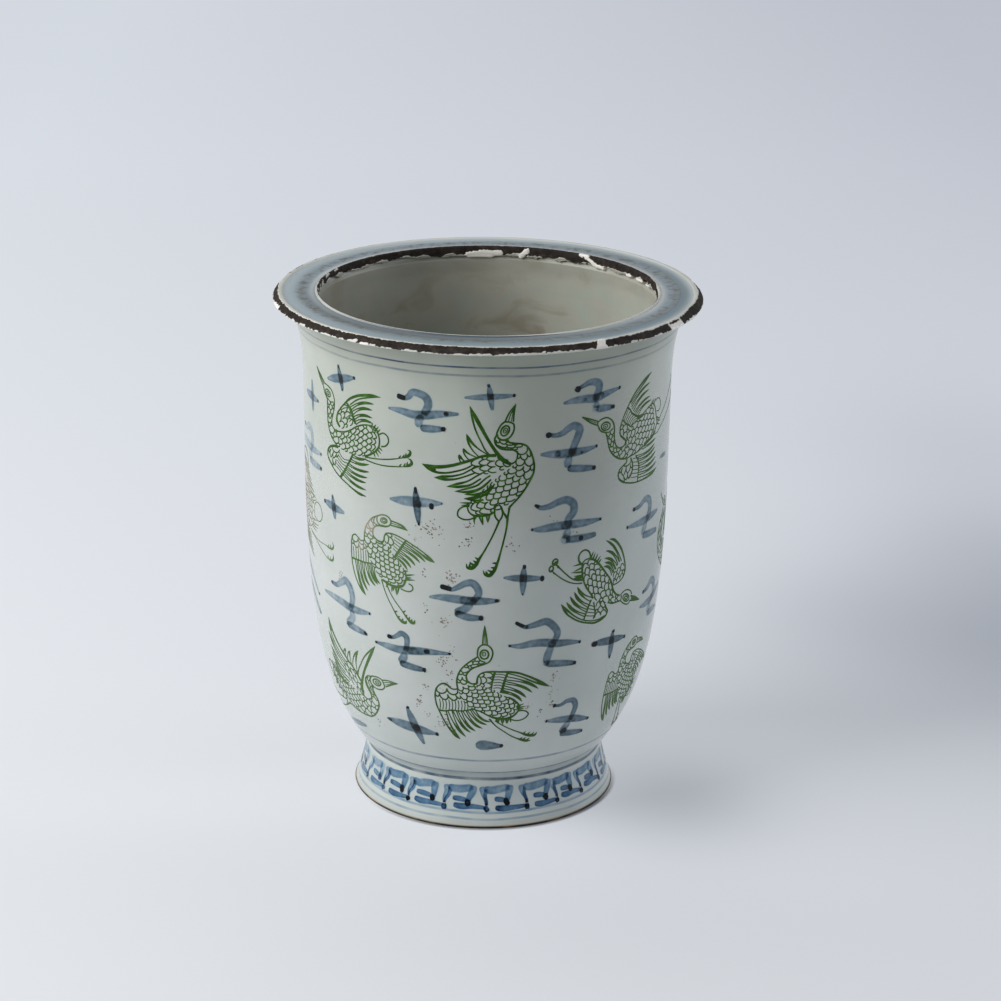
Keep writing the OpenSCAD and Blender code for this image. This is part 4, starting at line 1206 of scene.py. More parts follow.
TURNING = [
    [(-1.6, 166), (-1.2, 174), (-0.2, 182.4, 0.5)], [(2, 166), (1.2, 174), (-0.2, 182.4, 0.5)],
    [(0.4, 166.5, 0.7), (0, 174, 0.8), (-0.1, 180, 1.5), (-0.2, 182.4, 0.4)],
    [1.25, (-5.4, 156, 1.2), (-5.6, 160), (-4.5, 164), (-1.6, 166.3), (2, 166), (4.8, 163.8), (6.3, 160),
     (5.6, 155.5), (3.6, 152), (0.5, 150.3), (-4, 148.6), (-9, 146.5), (-12.5, 143.5), (-14.5, 140),
     (-14.2, 136.3), (-12.2, 133.8), (-9.5, 132.8)],
    [1.1, (-5.4, 156.3), (-3, 153), (0.8, 151.6)], oval(-0.2, 158.2, 7.6, 6.6, 90, 1.4),
    oval(-0.5, 158.6, 3.4, 2.9, 90, 0.8), blot(-0.6, 158.7, 1.2, 1.0),
    [1.25, (-5.4, 156.2), (-10, 153), (-15, 149), (-19, 144.5), (-21.5, 139), (-22.4, 133.5),
     (-21.8, 128.5)],
    *scales([(-6, 155.5), (-12, 151.5), (-18, 146), (-21.5, 139), (-22, 131)],
            [(0, 151), (-8, 147), (-13.5, 142.5), (-14, 137), (-10, 132.8)], 8, 4.6),
    *scales([(-21.8, 129), (-19, 121), (-15, 114.5), (-9, 110.3), (-2, 107.5), (6, 103.3), (14, 101.8),
             (22, 102.2)], [(-9.5, 132.8), (-3, 131), (3, 129), (8, 127.5), (14, 123), (20, 120.8),
                            (26, 117.5), (29.5, 111)], 13, 5.0),
    [1.2, (-10, 110.5), (-3, 108.5), (3, 105, 1.4), (9, 102.6, 1.9), (16, 101.6, 2.1), (22, 102.2, 1.9),
     (26.5, 105, 1.6), (29.3, 109, 1.3), (29.8, 112, 1.3), (28, 115), (24, 119), (20, 121)],
    [(-9.5, 132.8, 1.4), (-6.3, 133.3, 1.7), (-5.8, 136.5, 1.5), (-4.8, 140, 1.2), (-1.5, 142.6, 1.2),
     (4, 143.6, 1.5), (12, 143.4, 1.4), (20, 143, 1.7), (27, 141.8, 1.7), (34, 139, 1.7),
     (41, 135.5, 1.9), (48, 131.3, 2.2), (54.7, 127.3, 0.4)],
    [(18, 142, 1), (25, 140, 1), (32, 137.2, 1.2), (38, 134.2, 1.4), (45, 131, 1.7), (50, 129.2, 1.7),
     (54.7, 127.3, 0.4)],
    *plumes([((45, 126.5), (17.5, 139.3), (17, 136.4))], (1.2, 1.8)),
    *plumes([((39.8, 123.8), (17, 135), (16.5, 133))], (1.0, 1.6)),
    *plumes([((35, 119.6), (16.4, 131.3), (15.6, 129))], (0.9, 1.5)),
    *plumes([((31.7, 116.4), (15.6, 127.4), (15, 125.2))], (1.2, 1.5)),
    [(30.8, 112.6, 0.4), (27, 116, 1.7), (22, 119.6, 1.2), (17, 121.6, 1)],
    [(8.5, 143.6, 1.9), (7.3, 139.5, 1.6), (6.2, 133.5, 1.4), (5.8, 128.6, 1)],
    [(18.8, 142.8, 1.6), (17.3, 138.6, 1.8), (15.8, 133.5, 1.9), (14.6, 127.8, 2.2), (13.8, 125, 2.4)],
    blot(17.5, 125.6, 6, 2.2, -8),
    *[[0.7, (7.4, z), (12, z + 0.1), (17 - k * 0.5, z - 0.9)] for k,
      z in enumerate((141.3, 139, 136.6, 134.2, 131.8, 129.4))],
    *scales([(-5.6, 138), (-3, 141.5), (2, 143), (7.5, 142.6)],
            [(-6, 131.5), (-2, 130.5), (2, 129.5), (6, 129)], 3, 4.6),
    [1.2, (-21.6, 128), (-25, 127.3), (-28, 128.4), (-30.5, 130.7, 1.7), (-33, 131.6, 1.5),
     (-36.5, 130.3), (-39.5, 127), (-41, 122), (-41, 116), (-40, 110.5), (-38.2, 106), (-35.5, 99.5),
     (-32, 93, 1.4), (-28.5, 88, 1.9), (-25, 84, 2.1), (-21.5, 81.4, 0.4)],
    *scales([(-39.5, 127.5), (-41, 122), (-40.5, 117)], [(-22, 127.5), (-20, 122), (-16.5, 117)], 2, 7.0,
            1.1),
    [(-38.3, 107.3, 1.7), (-33, 107.2, 1.3), (-28, 108.3), (-20, 108.2), (-14, 109.2), (-9, 110.8, 1.5)],
    *[[0.7, (x, 117.6), (x + 0.5, 113), (x - 0.2, 108.4)]
      for x in (-37.5, -35, -32.3, -29.6, -27, -24.3, -21.7, -19, -16.5, -14)],
    [(-21.5, 81.4, 0.4), (-26, 88, 1.7), (-29.5, 95, 1.2), (-32.5, 107.3, 1)],
    *plumes([((-16.2, 84.1), (-31, 107.6), (-27.4, 108)), ((-11.8, 88.4), (-26.5, 108), (-23.6, 108.1)),
             ((-7.4, 90), (-22.2, 108.1), (-19.4, 108.3)), ((-1.3, 92.6), (-18.2, 108.5), (-15.4, 109)),
             ((2.6, 96.2), (-14.2, 109.2), (-11.8, 110)), ((5.6, 98.8), (-10.6, 110.4), (-7.6, 110))],
            (-1.4, -2.0)),
    [1.1, (23, 100.7), (28, 99.2), (33, 99.8), (37, 102.3), (38.2, 104.8), (36.3, 107), (32.5, 108.2),
     (29, 108)],
    *spikes([((27, 112), (33.5, 114.4)), ((27.5, 111), (35.3, 111.9)), ((28.5, 109.6), (34, 110)),
             ((10.5, 101.8), (12, 97.3)), ((13, 101.6), (12.4, 98)), ((14.8, 101.2), (16.6, 96)),
             ((17.2, 101.2), (16.4, 97)), ((18.8, 101.2), (20, 96.6)), ((21, 101.4), (20.4, 97.4)),
             ((22.6, 101.6), (23.4, 97.8))], 1.5),
    [(4.5, 101.8, 1.5), (10, 95.3, 1), (17, 90, 1), (25, 84.6, 1), (31, 81.7, 1.3), (35, 80.2, 2.2),
     (40, 78.8, 2.4), (43.6, 78.6, 0.6)],
    [(9.5, 100, 1.2), (17, 95, 1), (25, 90.8, 1), (33, 87.3, 1.3), (38, 85, 2.2), (43, 83.7, 2.6),
     (47, 83.7, 2.2), (48.7, 86.2, 0.4)],
    *spikes([((33, 80.8), (35.6, 82.8)), ((36, 80), (38.7, 82.4)), ((39.7, 79.2), (42.6, 81.6)),
             ((35.5, 86), (37.9, 88.2)), ((39.5, 84.7), (42.2, 87.2)), ((43.2, 84), (46, 86.6))], 1.4),
]

SETTLING = [
    [(-74.5, 258.7), (-69, 257.8, 1.3), (-64, 256, 1.7), (-60.2, 253.2, 0.4)],
    [(-74.7, 255.2), (-69, 254.8, 1.3), (-64, 254.4, 1.7), (-60.2, 253.2, 0.4)],
    [0.6, (-74, 257), (-67, 256)],
    [1.15, (-86.5, 260.3), (-82, 262), (-78, 261.8), (-75.3, 260), (-74.4, 257), (-75.8, 254.7),
     (-79, 253.3, 1.5), (-82.5, 253.2, 1.9), (-86, 252.7, 1.4), (-89, 251.3), (-91.3, 247.5), (-91, 244),
     (-88.5, 241.5), (-85, 240.2, 1.5), (-82.5, 240.2, 1.7), (-81, 241.8, 1.5), (-80.6, 245)],
    [1.0, (-86.5, 260.3), (-87.2, 257.5), (-86.5, 255), (-84, 253.5)], oval(-80.8, 257.7, 6, 4.2, 8, 1.1),
    oval(-80.7, 257.8, 3.2, 2.0, 8, 0.9),
    [1.0, (-86.5, 260.3), (-91, 258), (-95, 254), (-98, 249.5), (-99.6, 244), (-100, 238)],
    *scales([(-88, 259.5), (-95, 254), (-99, 247), (-99.8, 239)],
            [(-87, 253.5), (-91, 249.5), (-91, 244.5), (-87, 241)], 6, 4.6, 0.85),
    *scales([(-99.8, 239), (-97.5, 230), (-93, 221.5), (-87, 213.5), (-80, 208.8), (-72, 206.6),
             (-66, 207)], [(-83, 240.5), (-78, 238), (-73, 232), (-68, 227), (-63.5, 221.5), (-61.5, 216),
                           (-62.5, 211)], 12, 4.9),
    [1.2, (-84, 210), (-79, 208, 1.7), (-74, 206.8, 2.1), (-69, 206.8, 2.1), (-65, 208.5, 1.7),
     (-62.8, 212, 1.4), (-62, 216), (-62.5, 220, 1.4)],
    [1.15, (-80.7, 245), (-79, 247.7), (-75, 248.6), (-70, 248), (-62, 245.3), (-54, 241.5), (-47, 237.5),
     (-42, 233.5, 1.9), (-38.8, 230.8, 0.5)],
    [1.1, (-62.5, 243.6), (-55, 239.8), (-49, 236.2, 1.6), (-43.5, 232.6, 2), (-38.8, 230.8, 0.5)],
    [(-61.8, 245, 1.5), (-64.5, 241, 1.9), (-67.5, 236.5, 1.9), (-70.5, 232, 1.9), (-72, 229.6, 1.4)],
    *plumes([((-46, 230.3), (-63, 242), (-64.2, 240.4)), ((-50.3, 229.2), (-65, 239.4), (-66.2, 237.8)),
             ((-54.3, 226.4), (-67, 236.6), (-68, 235)), ((-57.8, 224), (-68.8, 234), (-69.8, 232.4)),
             ((-60.8, 221.8), (-70.4, 231.4), (-71, 230))], (0.8, 0.9), 1.7),
    *[[0.7, (-71.5 - k * 0.3, 246.6 - k * 2.4), (-63.8 - k * 1.35, 243.2 - k * 2.2)] for k in range(5)],
    *scales([(-80, 246.5), (-76, 248.4), (-71, 247.8)], [(-80, 241.5), (-77.5, 238), (-73, 234)], 2, 4.6),
    [1.1, (-100, 237.6), (-104, 236.8), (-107, 239), (-109.5, 240.2), (-112.3, 238.8), (-113.6, 235.5),
     (-114.2, 228), (-114.2, 221), (-113, 213), (-110.5, 205.5), (-107, 199.5, 1.4), (-103.5, 196, 2.2),
     (-100.3, 193.2, 0.5)],
    *scales([(-112.5, 238), (-114, 234), (-113.5, 230)], [(-101, 237), (-98.5, 233), (-97, 229)], 2, 4.8),
    [(-114, 220.3, 1.7), (-107, 220.2, 1.4), (-100, 220, 1.2), (-92, 221, 1.2)],
    *[[0.7, (x, 230), (x + 0.3, 225), (x + 0.2, 220.4)]
      for x in (-112, -109.4, -106.8, -104.2, -101.6, -99, -96.6)],
    *plumes([((-100.3, 193.2), (-110.4, 220), (-108.4, 220)), ((-98, 197.5), (-107, 220), (-104.6, 220)),
             ((-95.8, 202), (-103.2, 220), (-101, 220)), ((-90, 203.2), (-99.8, 220), (-97.4, 220)),
             ((-87.4, 205), (-96.2, 220.4), (-94.2, 220.6)),
             ((-85.4, 205.8), (-93, 220.8), (-90.6, 219))], (-1.8, -1.4)),
    *spikes([((-64, 220.6), (-60.2, 221)), ((-63, 217.2), (-54.8, 219)), ((-63, 213.8), (-54.6, 214.6)),
             ((-62, 215.4), (-57.5, 216)), ((-78, 207.8), (-80, 204.4)), ((-74.2, 206.8), (-75, 201.6)),
             ((-72.4, 206.8), (-73.6, 202.6)), ((-71, 206.8), (-70.8, 200)),
             ((-68.4, 206.8), (-70, 200.4))], 1.6),
    [1.1, (-67, 205.8), (-62, 204.6), (-58.5, 205), (-56.6, 207), (-57.3, 209.8), (-60, 211)],
    [0.9, (-84, 210, 1.2), (-82, 203.5), (-79, 196.5), (-75, 189.5), (-72, 184.5, 1.2), (-69, 180.6, 1.7),
     (-66, 178.8, 2.6), (-63.4, 178.6, 2.2), (-62.8, 180.4, 0.6)],
    [0.9, (-80, 208.5, 1.2), (-76.5, 201), (-72, 194.5), (-68, 190), (-64.5, 185.6, 1.2),
     (-61, 181.6, 1.9), (-58.5, 179.8, 2.8), (-56.2, 179.6, 2.2), (-55.6, 182, 0.5)],
    *spikes([((-72.6, 186), (-70.2, 186.8)), ((-70, 182), (-68.2, 183)), ((-66.6, 179.6), (-65.6, 181.8)),
             ((-65.4, 186.8), (-63, 188.6)), ((-63, 184.2), (-61.8, 185.4)), ((-60.6, 182), (-59.6, 184)),
             ((-58.3, 180.2), (-58, 182.6))], 1.5),
]

GLIDING = [
    [1.3, (-145.3, 350.4), (-151, 355.3), (-156.6, 360.4, 1.2)],
    [1.3, (-147.6, 347.4), (-152.2, 352.2), (-156.6, 360.4, 1.2)],
    [(-146.5, 349, 1.0), (-151.6, 354, 1.2), (-155.6, 359, 1.6)],
    [1.15, (-145.3, 350.2), (-141, 349.5), (-136, 347.5), (-133, 343.5), (-132, 339), (-132.5, 334),
     (-134.2, 329), (-135.8, 324), (-135.6, 319.5), (-133, 317.6), (-128, 317)],
    [1.4, (-147.4, 347.6), (-146, 343), (-142.5, 339), (-142, 333), (-142, 327), (-141.5, 321),
     (-139.5, 315), (-136.5, 310.5), (-132, 307), (-128, 304)],
    oval(-140.9, 343.6, 7.4, 5.0, -20, 1.1), oval(-140.8, 343.6, 3.6, 2.2, -20, 0.9),
    [1.0, (-142, 339.6), (-138, 337.6), (-133.5, 338.4)],
    *scales([(-133, 338), (-133.2, 331), (-135.8, 324), (-135, 318.5)],
            [(-142, 338), (-142, 331), (-141.8, 323), (-139.6, 315.4)], 6, 4.4),
    *scales([(-134.6, 318.6), (-128, 317.4), (-117, 320), (-106, 326), (-98, 329), (-91, 328.4),
             (-86, 325)], [(-139, 314.6), (-131, 306.6), (-122, 304), (-112, 303.6), (-103, 304),
                           (-95, 305.6), (-88, 310.6)], 12, 4.9),
    [1.2, (-128, 317), (-122, 318), (-114, 321), (-106, 326), (-98, 329), (-92, 329.5), (-87, 328, 1.4),
     (-85, 324, 1.4), (-84, 319, 1.4), (-85, 314, 1.5), (-88, 310.5, 1.6), (-93, 307, 1.6),
     (-98, 304.4, 1.8)],
    [(-125.5, 321, 2), (-129, 325, 2.4), (-128.6, 330, 1.6), (-125, 335, 1.3), (-119, 341, 1.4),
     (-113, 346, 1.9), (-106, 349.6, 2.1), (-98, 352, 2.3), (-90, 353.5, 1.9), (-82.3, 353.4, 0.3)],
    [(-113, 341.4, 1.1), (-105, 347, 1.1), (-96, 350.4, 1.3), (-88, 352.6, 1.4), (-82.3, 353.4, 0.3)],
    *plumes([((-88.8, 346.8), (-112.8, 339.6), (-112, 337.6)),
             ((-90.4, 341.8), (-111.4, 336.2), (-110.4, 334)),
             ((-90.4, 335.7), (-109.8, 332.6), (-108.8, 330.6)),
             ((-90, 331.6), (-108.2, 329.4), (-107, 327.2))], (-1.6, 2.2)),
    [(-117, 342, 1.4), (-113, 338.4, 2.8), (-110.4, 333.4, 2.4), (-107.4, 327.8, 2.2)],
    *scales([(-128.6, 329), (-124, 336), (-117.5, 342)], [(-123, 320.5), (-117, 323), (-108.5, 327.6)], 3,
            4.8),
    *[[0.7, (-124 + k * 3.2, 334.5 - k * 2.2), (-119 + k * 3.0, 337.5 - k * 2.3),
       (-115 + k * 2.4, 338.5 - k * 3.0)] for k in range(4)],
    [1.25, (-128, 304.5, 2), (-134, 304, 1.9), (-139, 302, 1.7), (-142.5, 298, 1.4), (-142, 293),
     (-138, 289), (-132, 284.5), (-126, 281.5), (-118, 278.5), (-110, 275.5, 1.5), (-103, 273.6, 2.2),
     (-97.2, 273.2, 0.4)],
    *scales([(-133, 303.8), (-140.5, 300.5), (-141.5, 293), (-136, 287.5)],
            [(-126, 303), (-128, 298), (-131, 294), (-131.5, 289)], 3, 4.8),
    *[[0.7, (-127 - k * 0.9, 301 - k * 2.4), (-121.5 - k * 0.9, 297 - k * 2.1),
       (-115 - k * 1.6, 297.5 - k * 2.8)] for k in range(6)],
    [(-125.4, 281.8, 2.4), (-121, 287, 2), (-117, 293, 1.6), (-113, 299, 1.8), (-110.5, 303.6, 1.6)],
    *plumes([((-97, 278.2), (-123, 284.6), (-122, 286.4)), ((-97, 284), (-121, 287.6), (-119.8, 289.4)),
             ((-95.8, 288.2), (-119, 290.4), (-118, 292)), ((-94, 293.2), (-117, 293.6), (-116, 295.2)),
             ((-94, 299), (-114.8, 297.2), (-113.6, 299.2)),
             ((-96.5, 302.8), (-112.4, 301.2), (-111, 303.2))], (-1.0, -1.4)),
    [1.2, (-85, 324), (-80, 326), (-76.5, 323.5), (-76, 320), (-78.5, 316.5), (-82.5, 315.3)],
    *spikes([((-91.5, 328.8), (-90, 332)), ((-89.6, 328), (-87, 331.6)), ((-88, 326.4), (-84.6, 330.4)),
             ((-86.6, 325), (-83, 328.6)), ((-85, 314.6), (-81.4, 312)), ((-86.2, 312.6), (-82.8, 309.6)),
             ((-87.6, 311), (-84.8, 307)), ((-89.4, 309.4), (-88, 305.6))], 1.4),
    [1.0, (-98, 304), (-90, 304.6), (-82, 305.5), (-72, 307.5), (-64, 309.8), (-60.4, 311.2, 2.2),
     (-58, 313.4, 2.4), (-57.8, 315.8, 1.4), (-60, 316.4, 0.4)],
    [1.0, (-97, 302), (-88, 301), (-80, 300.9), (-70, 302), (-62, 303.3), (-59, 304.4, 2.2),
     (-56.6, 306.4, 2.4), (-57.4, 309, 1.4), (-59.8, 310, 0.4)],
    *spikes([((-67, 309), (-65.4, 311.4)), ((-64, 310), (-62.4, 312.6)), ((-61.6, 310.8), (-61, 314)),
             ((-66.6, 302.8), (-65, 305)), ((-63, 303.4), (-61.6, 306)), ((-60.4, 304.2), (-60, 307.4))],
            1.4),
]

WHEELING = [
    [1.3, (88, 335.3), (80.5, 338.4), (73, 341.4, 0.8)], [1.3, (87, 332.5), (80, 336), (73, 341, 0.8)],
    [(87.5, 334, 0.7), (80, 337.3, 0.8), (75.5, 339.6, 1.8)],
    [1.3, (87.4, 335.2), (91, 336.8), (95.5, 337), (99.5, 335), (102.3, 331.5, 1.5), (103.4, 327, 1.5),
     (103.5, 322), (104.2, 317), (106.3, 312.5), (109.5, 310.6), (113, 310.8), (115.7, 312.5, 1.5),
     (116.2, 315, 1.6)],
    [1.3, (87.2, 332.6), (88.6, 329.5, 1.5), (91, 327), (94.6, 325.6), (96.2, 322), (97.5, 317),
     (99, 312), (102, 307.5), (107, 303.5, 1.5), (112.5, 301.3, 1.5), (118, 300.5, 1.5)],
    [1.3, (87.4, 335.2), (86.8, 333.8), (87.2, 332.6)], [1.1, (94.6, 325.6), (98.4, 325.4), (102, 327.4)],
    oval(94.8, 330.5, 8.6, 6.2, -8, 1.4), oval(94.5, 330.5, 4.2, 3.2, 0, 0.9),
    blot(94.4, 330.4, 1.5, 1.2),
    *scales([(95.2, 325), (97.2, 318), (99.5, 311.5), (104.5, 305.5), (111.5, 301.8)],
            [(103.2, 325.5), (103.7, 320), (105.6, 314), (109, 311), (114, 311.4)], 8, 4.0),
    *scales([(112, 301.8), (122, 301.6), (132, 303), (142, 306.6), (150, 310), (157.5, 314)],
            [(115, 312), (119, 320), (126, 326), (136, 330.4), (145, 333.6), (153, 334)], 10, 5.0),
    [1.2, (116.2, 315, 1.7), (113.5, 317.3, 1.9), (110.3, 320.2, 1.6), (109.3, 323.5), (110.2, 328),
     (112.5, 333), (115.5, 338), (118.5, 342.5, 1.3), (122, 346.8, 1.5), (127, 351.5, 1.8),
     (132, 355, 2.1), (138, 358.6, 2.3), (145.7, 361.6, 0.4)],
    [1.0, (120.4, 343.4), (127, 348.8), (133, 353, 1.3), (139, 357, 1.7), (145.7, 361.6, 0.4)],
    *plumes([((145, 353.6), (121.2, 341.8), (121.8, 339.8)), ((144, 348.2), (122.8, 338), (124, 336.2)),
             ((146.6, 342.3), (125.4, 335), (127, 333.8)),
             ((148.6, 338.8), (128.6, 333), (130.6, 331.8))], (-2.0, 1.6)),
    [1.5, (112.5, 331.5), (115.5, 328.5), (119, 326.5), (121.3, 324.5)],
    [(117.5, 340.4, 1.4), (120.5, 337.6, 1.4), (122.4, 335, 1.6), (125.5, 333, 1.9), (130, 330.6, 2.3),
     (134.5, 329.6, 3.0), (139, 330.4, 1.2)],
    *[[0.65, (113.6 + 1.7 * k, 331.2 - 1.2 * k), (116 + 1.9 * k, 335.2 - 1.3 * k),
       (118.4 + 2.5 * k, 339.2 - 2.0 * k)] for k in range(6)],
    *scales([(109.4, 322), (110.2, 327), (112.5, 331)], [(116.8, 316.5), (119, 320), (121, 324.5)], 2,
            4.6),
    [1.15, (121.3, 324.5), (127, 327), (134, 329.5), (141, 332.5), (147, 334.6), (152, 335, 1.4),
     (155, 332.5, 1.5), (157.5, 328, 1.5), (159, 323, 1.4), (160.5, 318.5), (158, 313), (151, 309.2),
     (145, 307), (138, 304.5), (131, 302.4), (124, 301.4), (118, 300.5)],
    [1.0, (156.5, 336), (160.5, 337), (164.5, 335.6), (167, 332), (166.5, 328.3), (163.5, 326.3),
     (160, 327)],
    *spikes([((149, 334.6), (151.5, 338)), ((151.5, 335), (153.8, 338.6)),
             ((153.8, 334.2), (156.6, 337.8)), ((160, 322), (166.5, 319.4)), ((160.4, 320), (168, 317.2)),
             ((160, 317), (166.5, 314.8))], 1.5),
    *plumes([((158.5, 311.4), (140, 306.8), (141, 305.2))], (1.5, -0.6)),
    *plumes([((159, 305.8), (138, 304.6), (137, 302.8))], (0.5, -0.8)),
    [0.8, (156, 309.4), (162, 309.6), (169, 312.6), (179, 316.4), (189, 320.4), (200, 325, 1.8),
     (205, 329, 1.6), (203, 332, 0.5)],
    [0.8, (157, 313.6), (163, 317.8), (170, 322), (179, 327), (189, 333.4), (198, 339, 1.8),
     (201, 343, 1.6), (198, 345, 0.5)],
    [1.35, (118.3, 300.2), (117.6, 297.3, 1.5), (113.5, 295.3), (110.2, 293), (108.9, 289.5),
     (110.2, 285.8), (114, 282.8), (120, 280.6), (127, 279), (134, 278.3), (141, 278.2, 1.6),
     (149, 278.3, 1.9), (155.5, 279, 2.3), (162.6, 281.2, 0.4)],
    *scales([(117, 297.4), (110, 292.5), (109.8, 286.5), (115.5, 282.4)],
            [(122.6, 299.6), (125, 295), (125, 289.5), (121.5, 284)], 3, 5.0),
    [1.5, (122.7, 299.8), (124.9, 295.5), (125.3, 290), (123.5, 286), (121, 283.6, 1.1)],
    [(129, 300.2, 1.6), (131.5, 296.5, 1.2), (133.5, 291.5, 1.6), (133.2, 286, 1.3), (132.5, 279, 1.5)],
    *[[0.7, (125.4 - 0.2 * k * k * 0.3, 298.4 - 2.9 * k), (129, 298 - 3.0 * k), (133, 296.6 - 2.8 * k)]
      for k in range(6)],
    *plumes([((162, 286.4), (133.6, 283.4), (133.6, 285.4)), ((160.3, 290.9), (133.8, 287), (134, 289)),
             ((160, 295.3), (134, 290.6), (133.8, 292.6)), ((158.6, 299.3), (133, 294.4), (132, 296.2)),
             ((157.5, 302), (131.2, 297.8), (130, 299.6))], (0.5, -1.9)),
    [1.0, (133.6, 281.2), (142, 280.6), (150, 280.3, 1.4), (157, 280.4, 1.6), (162.6, 281.2, 0.4)],
]

DIVING = [
    [1.2, (132, 186.3), (138, 183.6, 1.7), (146.4, 178.8, 0.6)],
    [1.2, (131, 182.6), (138, 181, 1.7), (146.4, 178.8, 0.6)],
    [(133, 184.5, 2), (139, 182.2, 2.6), (143, 180.4, 1.2)],
    [1.0, (118.5, 190.8), (121.5, 192.3), (125.3, 193), (129, 192), (132, 189.8), (133.3, 187.3, 1.2)],
    [1.0, (118.8, 186), (122.5, 183), (126.5, 180.9), (129.6, 180.4), (131.3, 182, 1.2)],
    [1.2, (119.4, 190.4), (119.8, 188), (119, 186)], oval(125.9, 186.5, 9, 5.4, -32, 1.25),
    oval(126, 186.4, 4.6, 2.4, -32, 1.1),
    [1.4, (84, 229), (88, 226.5, 1.6), (92, 223, 1.9), (96, 218.5, 1.7), (100.5, 213), (104.5, 208),
     (107, 203.5, 1.7), (108.3, 199.5, 1.6), (110, 196, 1.6), (113.5, 192.5, 1.6), (117.5, 190.6)],
    [1.2, (104, 188.3), (109, 186.3), (114, 186), (119, 186)],
    [1.4, (77, 226, 1.7), (77.2, 219, 1.7), (78, 213.5), (80, 208.5), (83, 203.5), (86.5, 199),
     (88.8, 195)],
    [1.1, (77, 226), (79.5, 228), (82.3, 228.6), (84, 228.9)],
    *scales([(118, 190.5), (113.5, 192.5), (110, 196.4), (107.6, 202)],
            [(118, 186), (113, 186.2), (108, 187.2), (103, 189)], 4, 4.2),
    *scales([(107.5, 203), (102, 211.5), (96, 218.5), (90, 224.6), (84.4, 228.4)],
            [(102, 188.6), (92, 193), (86, 199.5), (80.4, 208), (77.4, 217), (77.4, 225)], 9, 5.2),
    [1.3, (76, 225, 2), (73.8, 228.5, 1.7), (73.7, 232.5), (76, 235.4), (79, 236.2), (82, 234.8),
     (83.8, 232), (84.2, 229.3)],
    *spikes([((77, 225.6), (69, 225)), ((77, 222.4), (69.4, 220.4)), ((77.3, 218.8), (67.4, 219.8)),
             ((77.6, 216), (70, 216.6)), ((84.5, 228.6), (87, 233.6)), ((86.6, 227.4), (88.8, 232.2)),
             ((88.6, 226), (91.4, 231)), ((90.4, 224.4), (94, 228.6)), ((91.8, 223), (95, 226))], 1.5),
    blot(74, 214.6, 8, 3.0, 4),
    [1.1, (78, 212.4, 1.8), (73, 212.8), (69, 214.5), (63.5, 219), (59, 223.5), (55.5, 227.2, 1.2),
     (52.4, 229.8)],
    oval(53.6, 230.4, 5.0, 4.0, 60, 1.3), blot(54.2, 230.2, 2.4, 1.6),
    [1.0, (77.5, 209.8, 1.3), (72.5, 210.3), (67, 212), (61.5, 215), (56.5, 218.7), (52.5, 222.3),
     (50.6, 224.4, 1.3)],
    oval(50.6, 225.3, 4.6, 3.2, 75, 1.3),
    *spikes([((55.6, 226.4), (58.2, 224.4)), ((52.4, 222), (55.4, 219.8)), ((54.6, 227.8), (57, 226.6))],
            1.4),
    [1.35, (101.4, 187.4), (103, 184), (104.6, 181.2), (104, 179, 1.4), (100.5, 176.4, 1.9),
     (96, 174.9, 1.9), (91.5, 174.4, 1.7), (86, 175.5), (80, 177.3), (75, 179.6), (70, 182.8),
     (66, 186, 1.5), (63, 190, 1.9), (60, 195.4, 0.4)],
    [1.0, (101.5, 178), (96, 176.5), (90, 176.5), (84, 177.8), (78, 180.2), (72, 184, 1.2),
     (66.5, 188.8, 1.7), (62, 192.8, 1.7), (60, 195.4, 0.4)],
    *plumes([((64.5, 196.4), (82, 181.4), (82.6, 183.4)), ((67.4, 200.7), (83.2, 185), (83.8, 187)),
             ((71, 203.7), (84.4, 188.6), (85.2, 190.6)), ((73.5, 207.4), (86.4, 193), (87.8, 196))],
            (-1.4, -1.3), 2.2),
    [1.4, (87, 194.4), (84.6, 189), (82.8, 184), (81, 179.2)],
    [1.2, (89.4, 192), (90.8, 187), (91.6, 181.5), (90.2, 178)],
    *[[0.7, (84.8 - 0.9 * k, 190.4 - 2.7 * k), (88, 189.2 - 2.8 * k), (90.8, 187.6 - 2.4 * k)]
      for k in range(4)],
    *scales([(91.6, 178.6), (92, 185), (92.4, 192)], [(103.6, 180), (101.8, 185.6), (100, 191)], 3, 5.0),
    [1.1, (109, 201.3), (113.5, 201.9), (117.5, 203.3), (120.3, 205.6), (121.8, 209, 1.3),
     (121.8, 213.5, 1.3), (120.5, 219, 1.3), (118.3, 224.5, 1.5), (115.3, 230, 1.8), (111.3, 235, 2.0),
     (106.5, 238.8, 2.0), (102.6, 240, 0.5)],
    *plumes([((98.8, 239.8), (117, 219), (115, 219)), ((99.2, 231.4), (114.6, 218.6), (113, 217)),
             ((98, 225.6), (112.4, 216), (111, 214)), ((98.4, 222), (110.4, 213.4), (109, 211.8)),
             ((97.6, 219), (108, 211.4), (106.6, 209.8))], (1.6, 1.8), 1.8),
    *scales([(109, 202), (108.6, 206), (108, 210.6)], [(119.6, 205.6), (120.8, 211), (119.4, 218)], 3,
            4.4, 0.8),
]
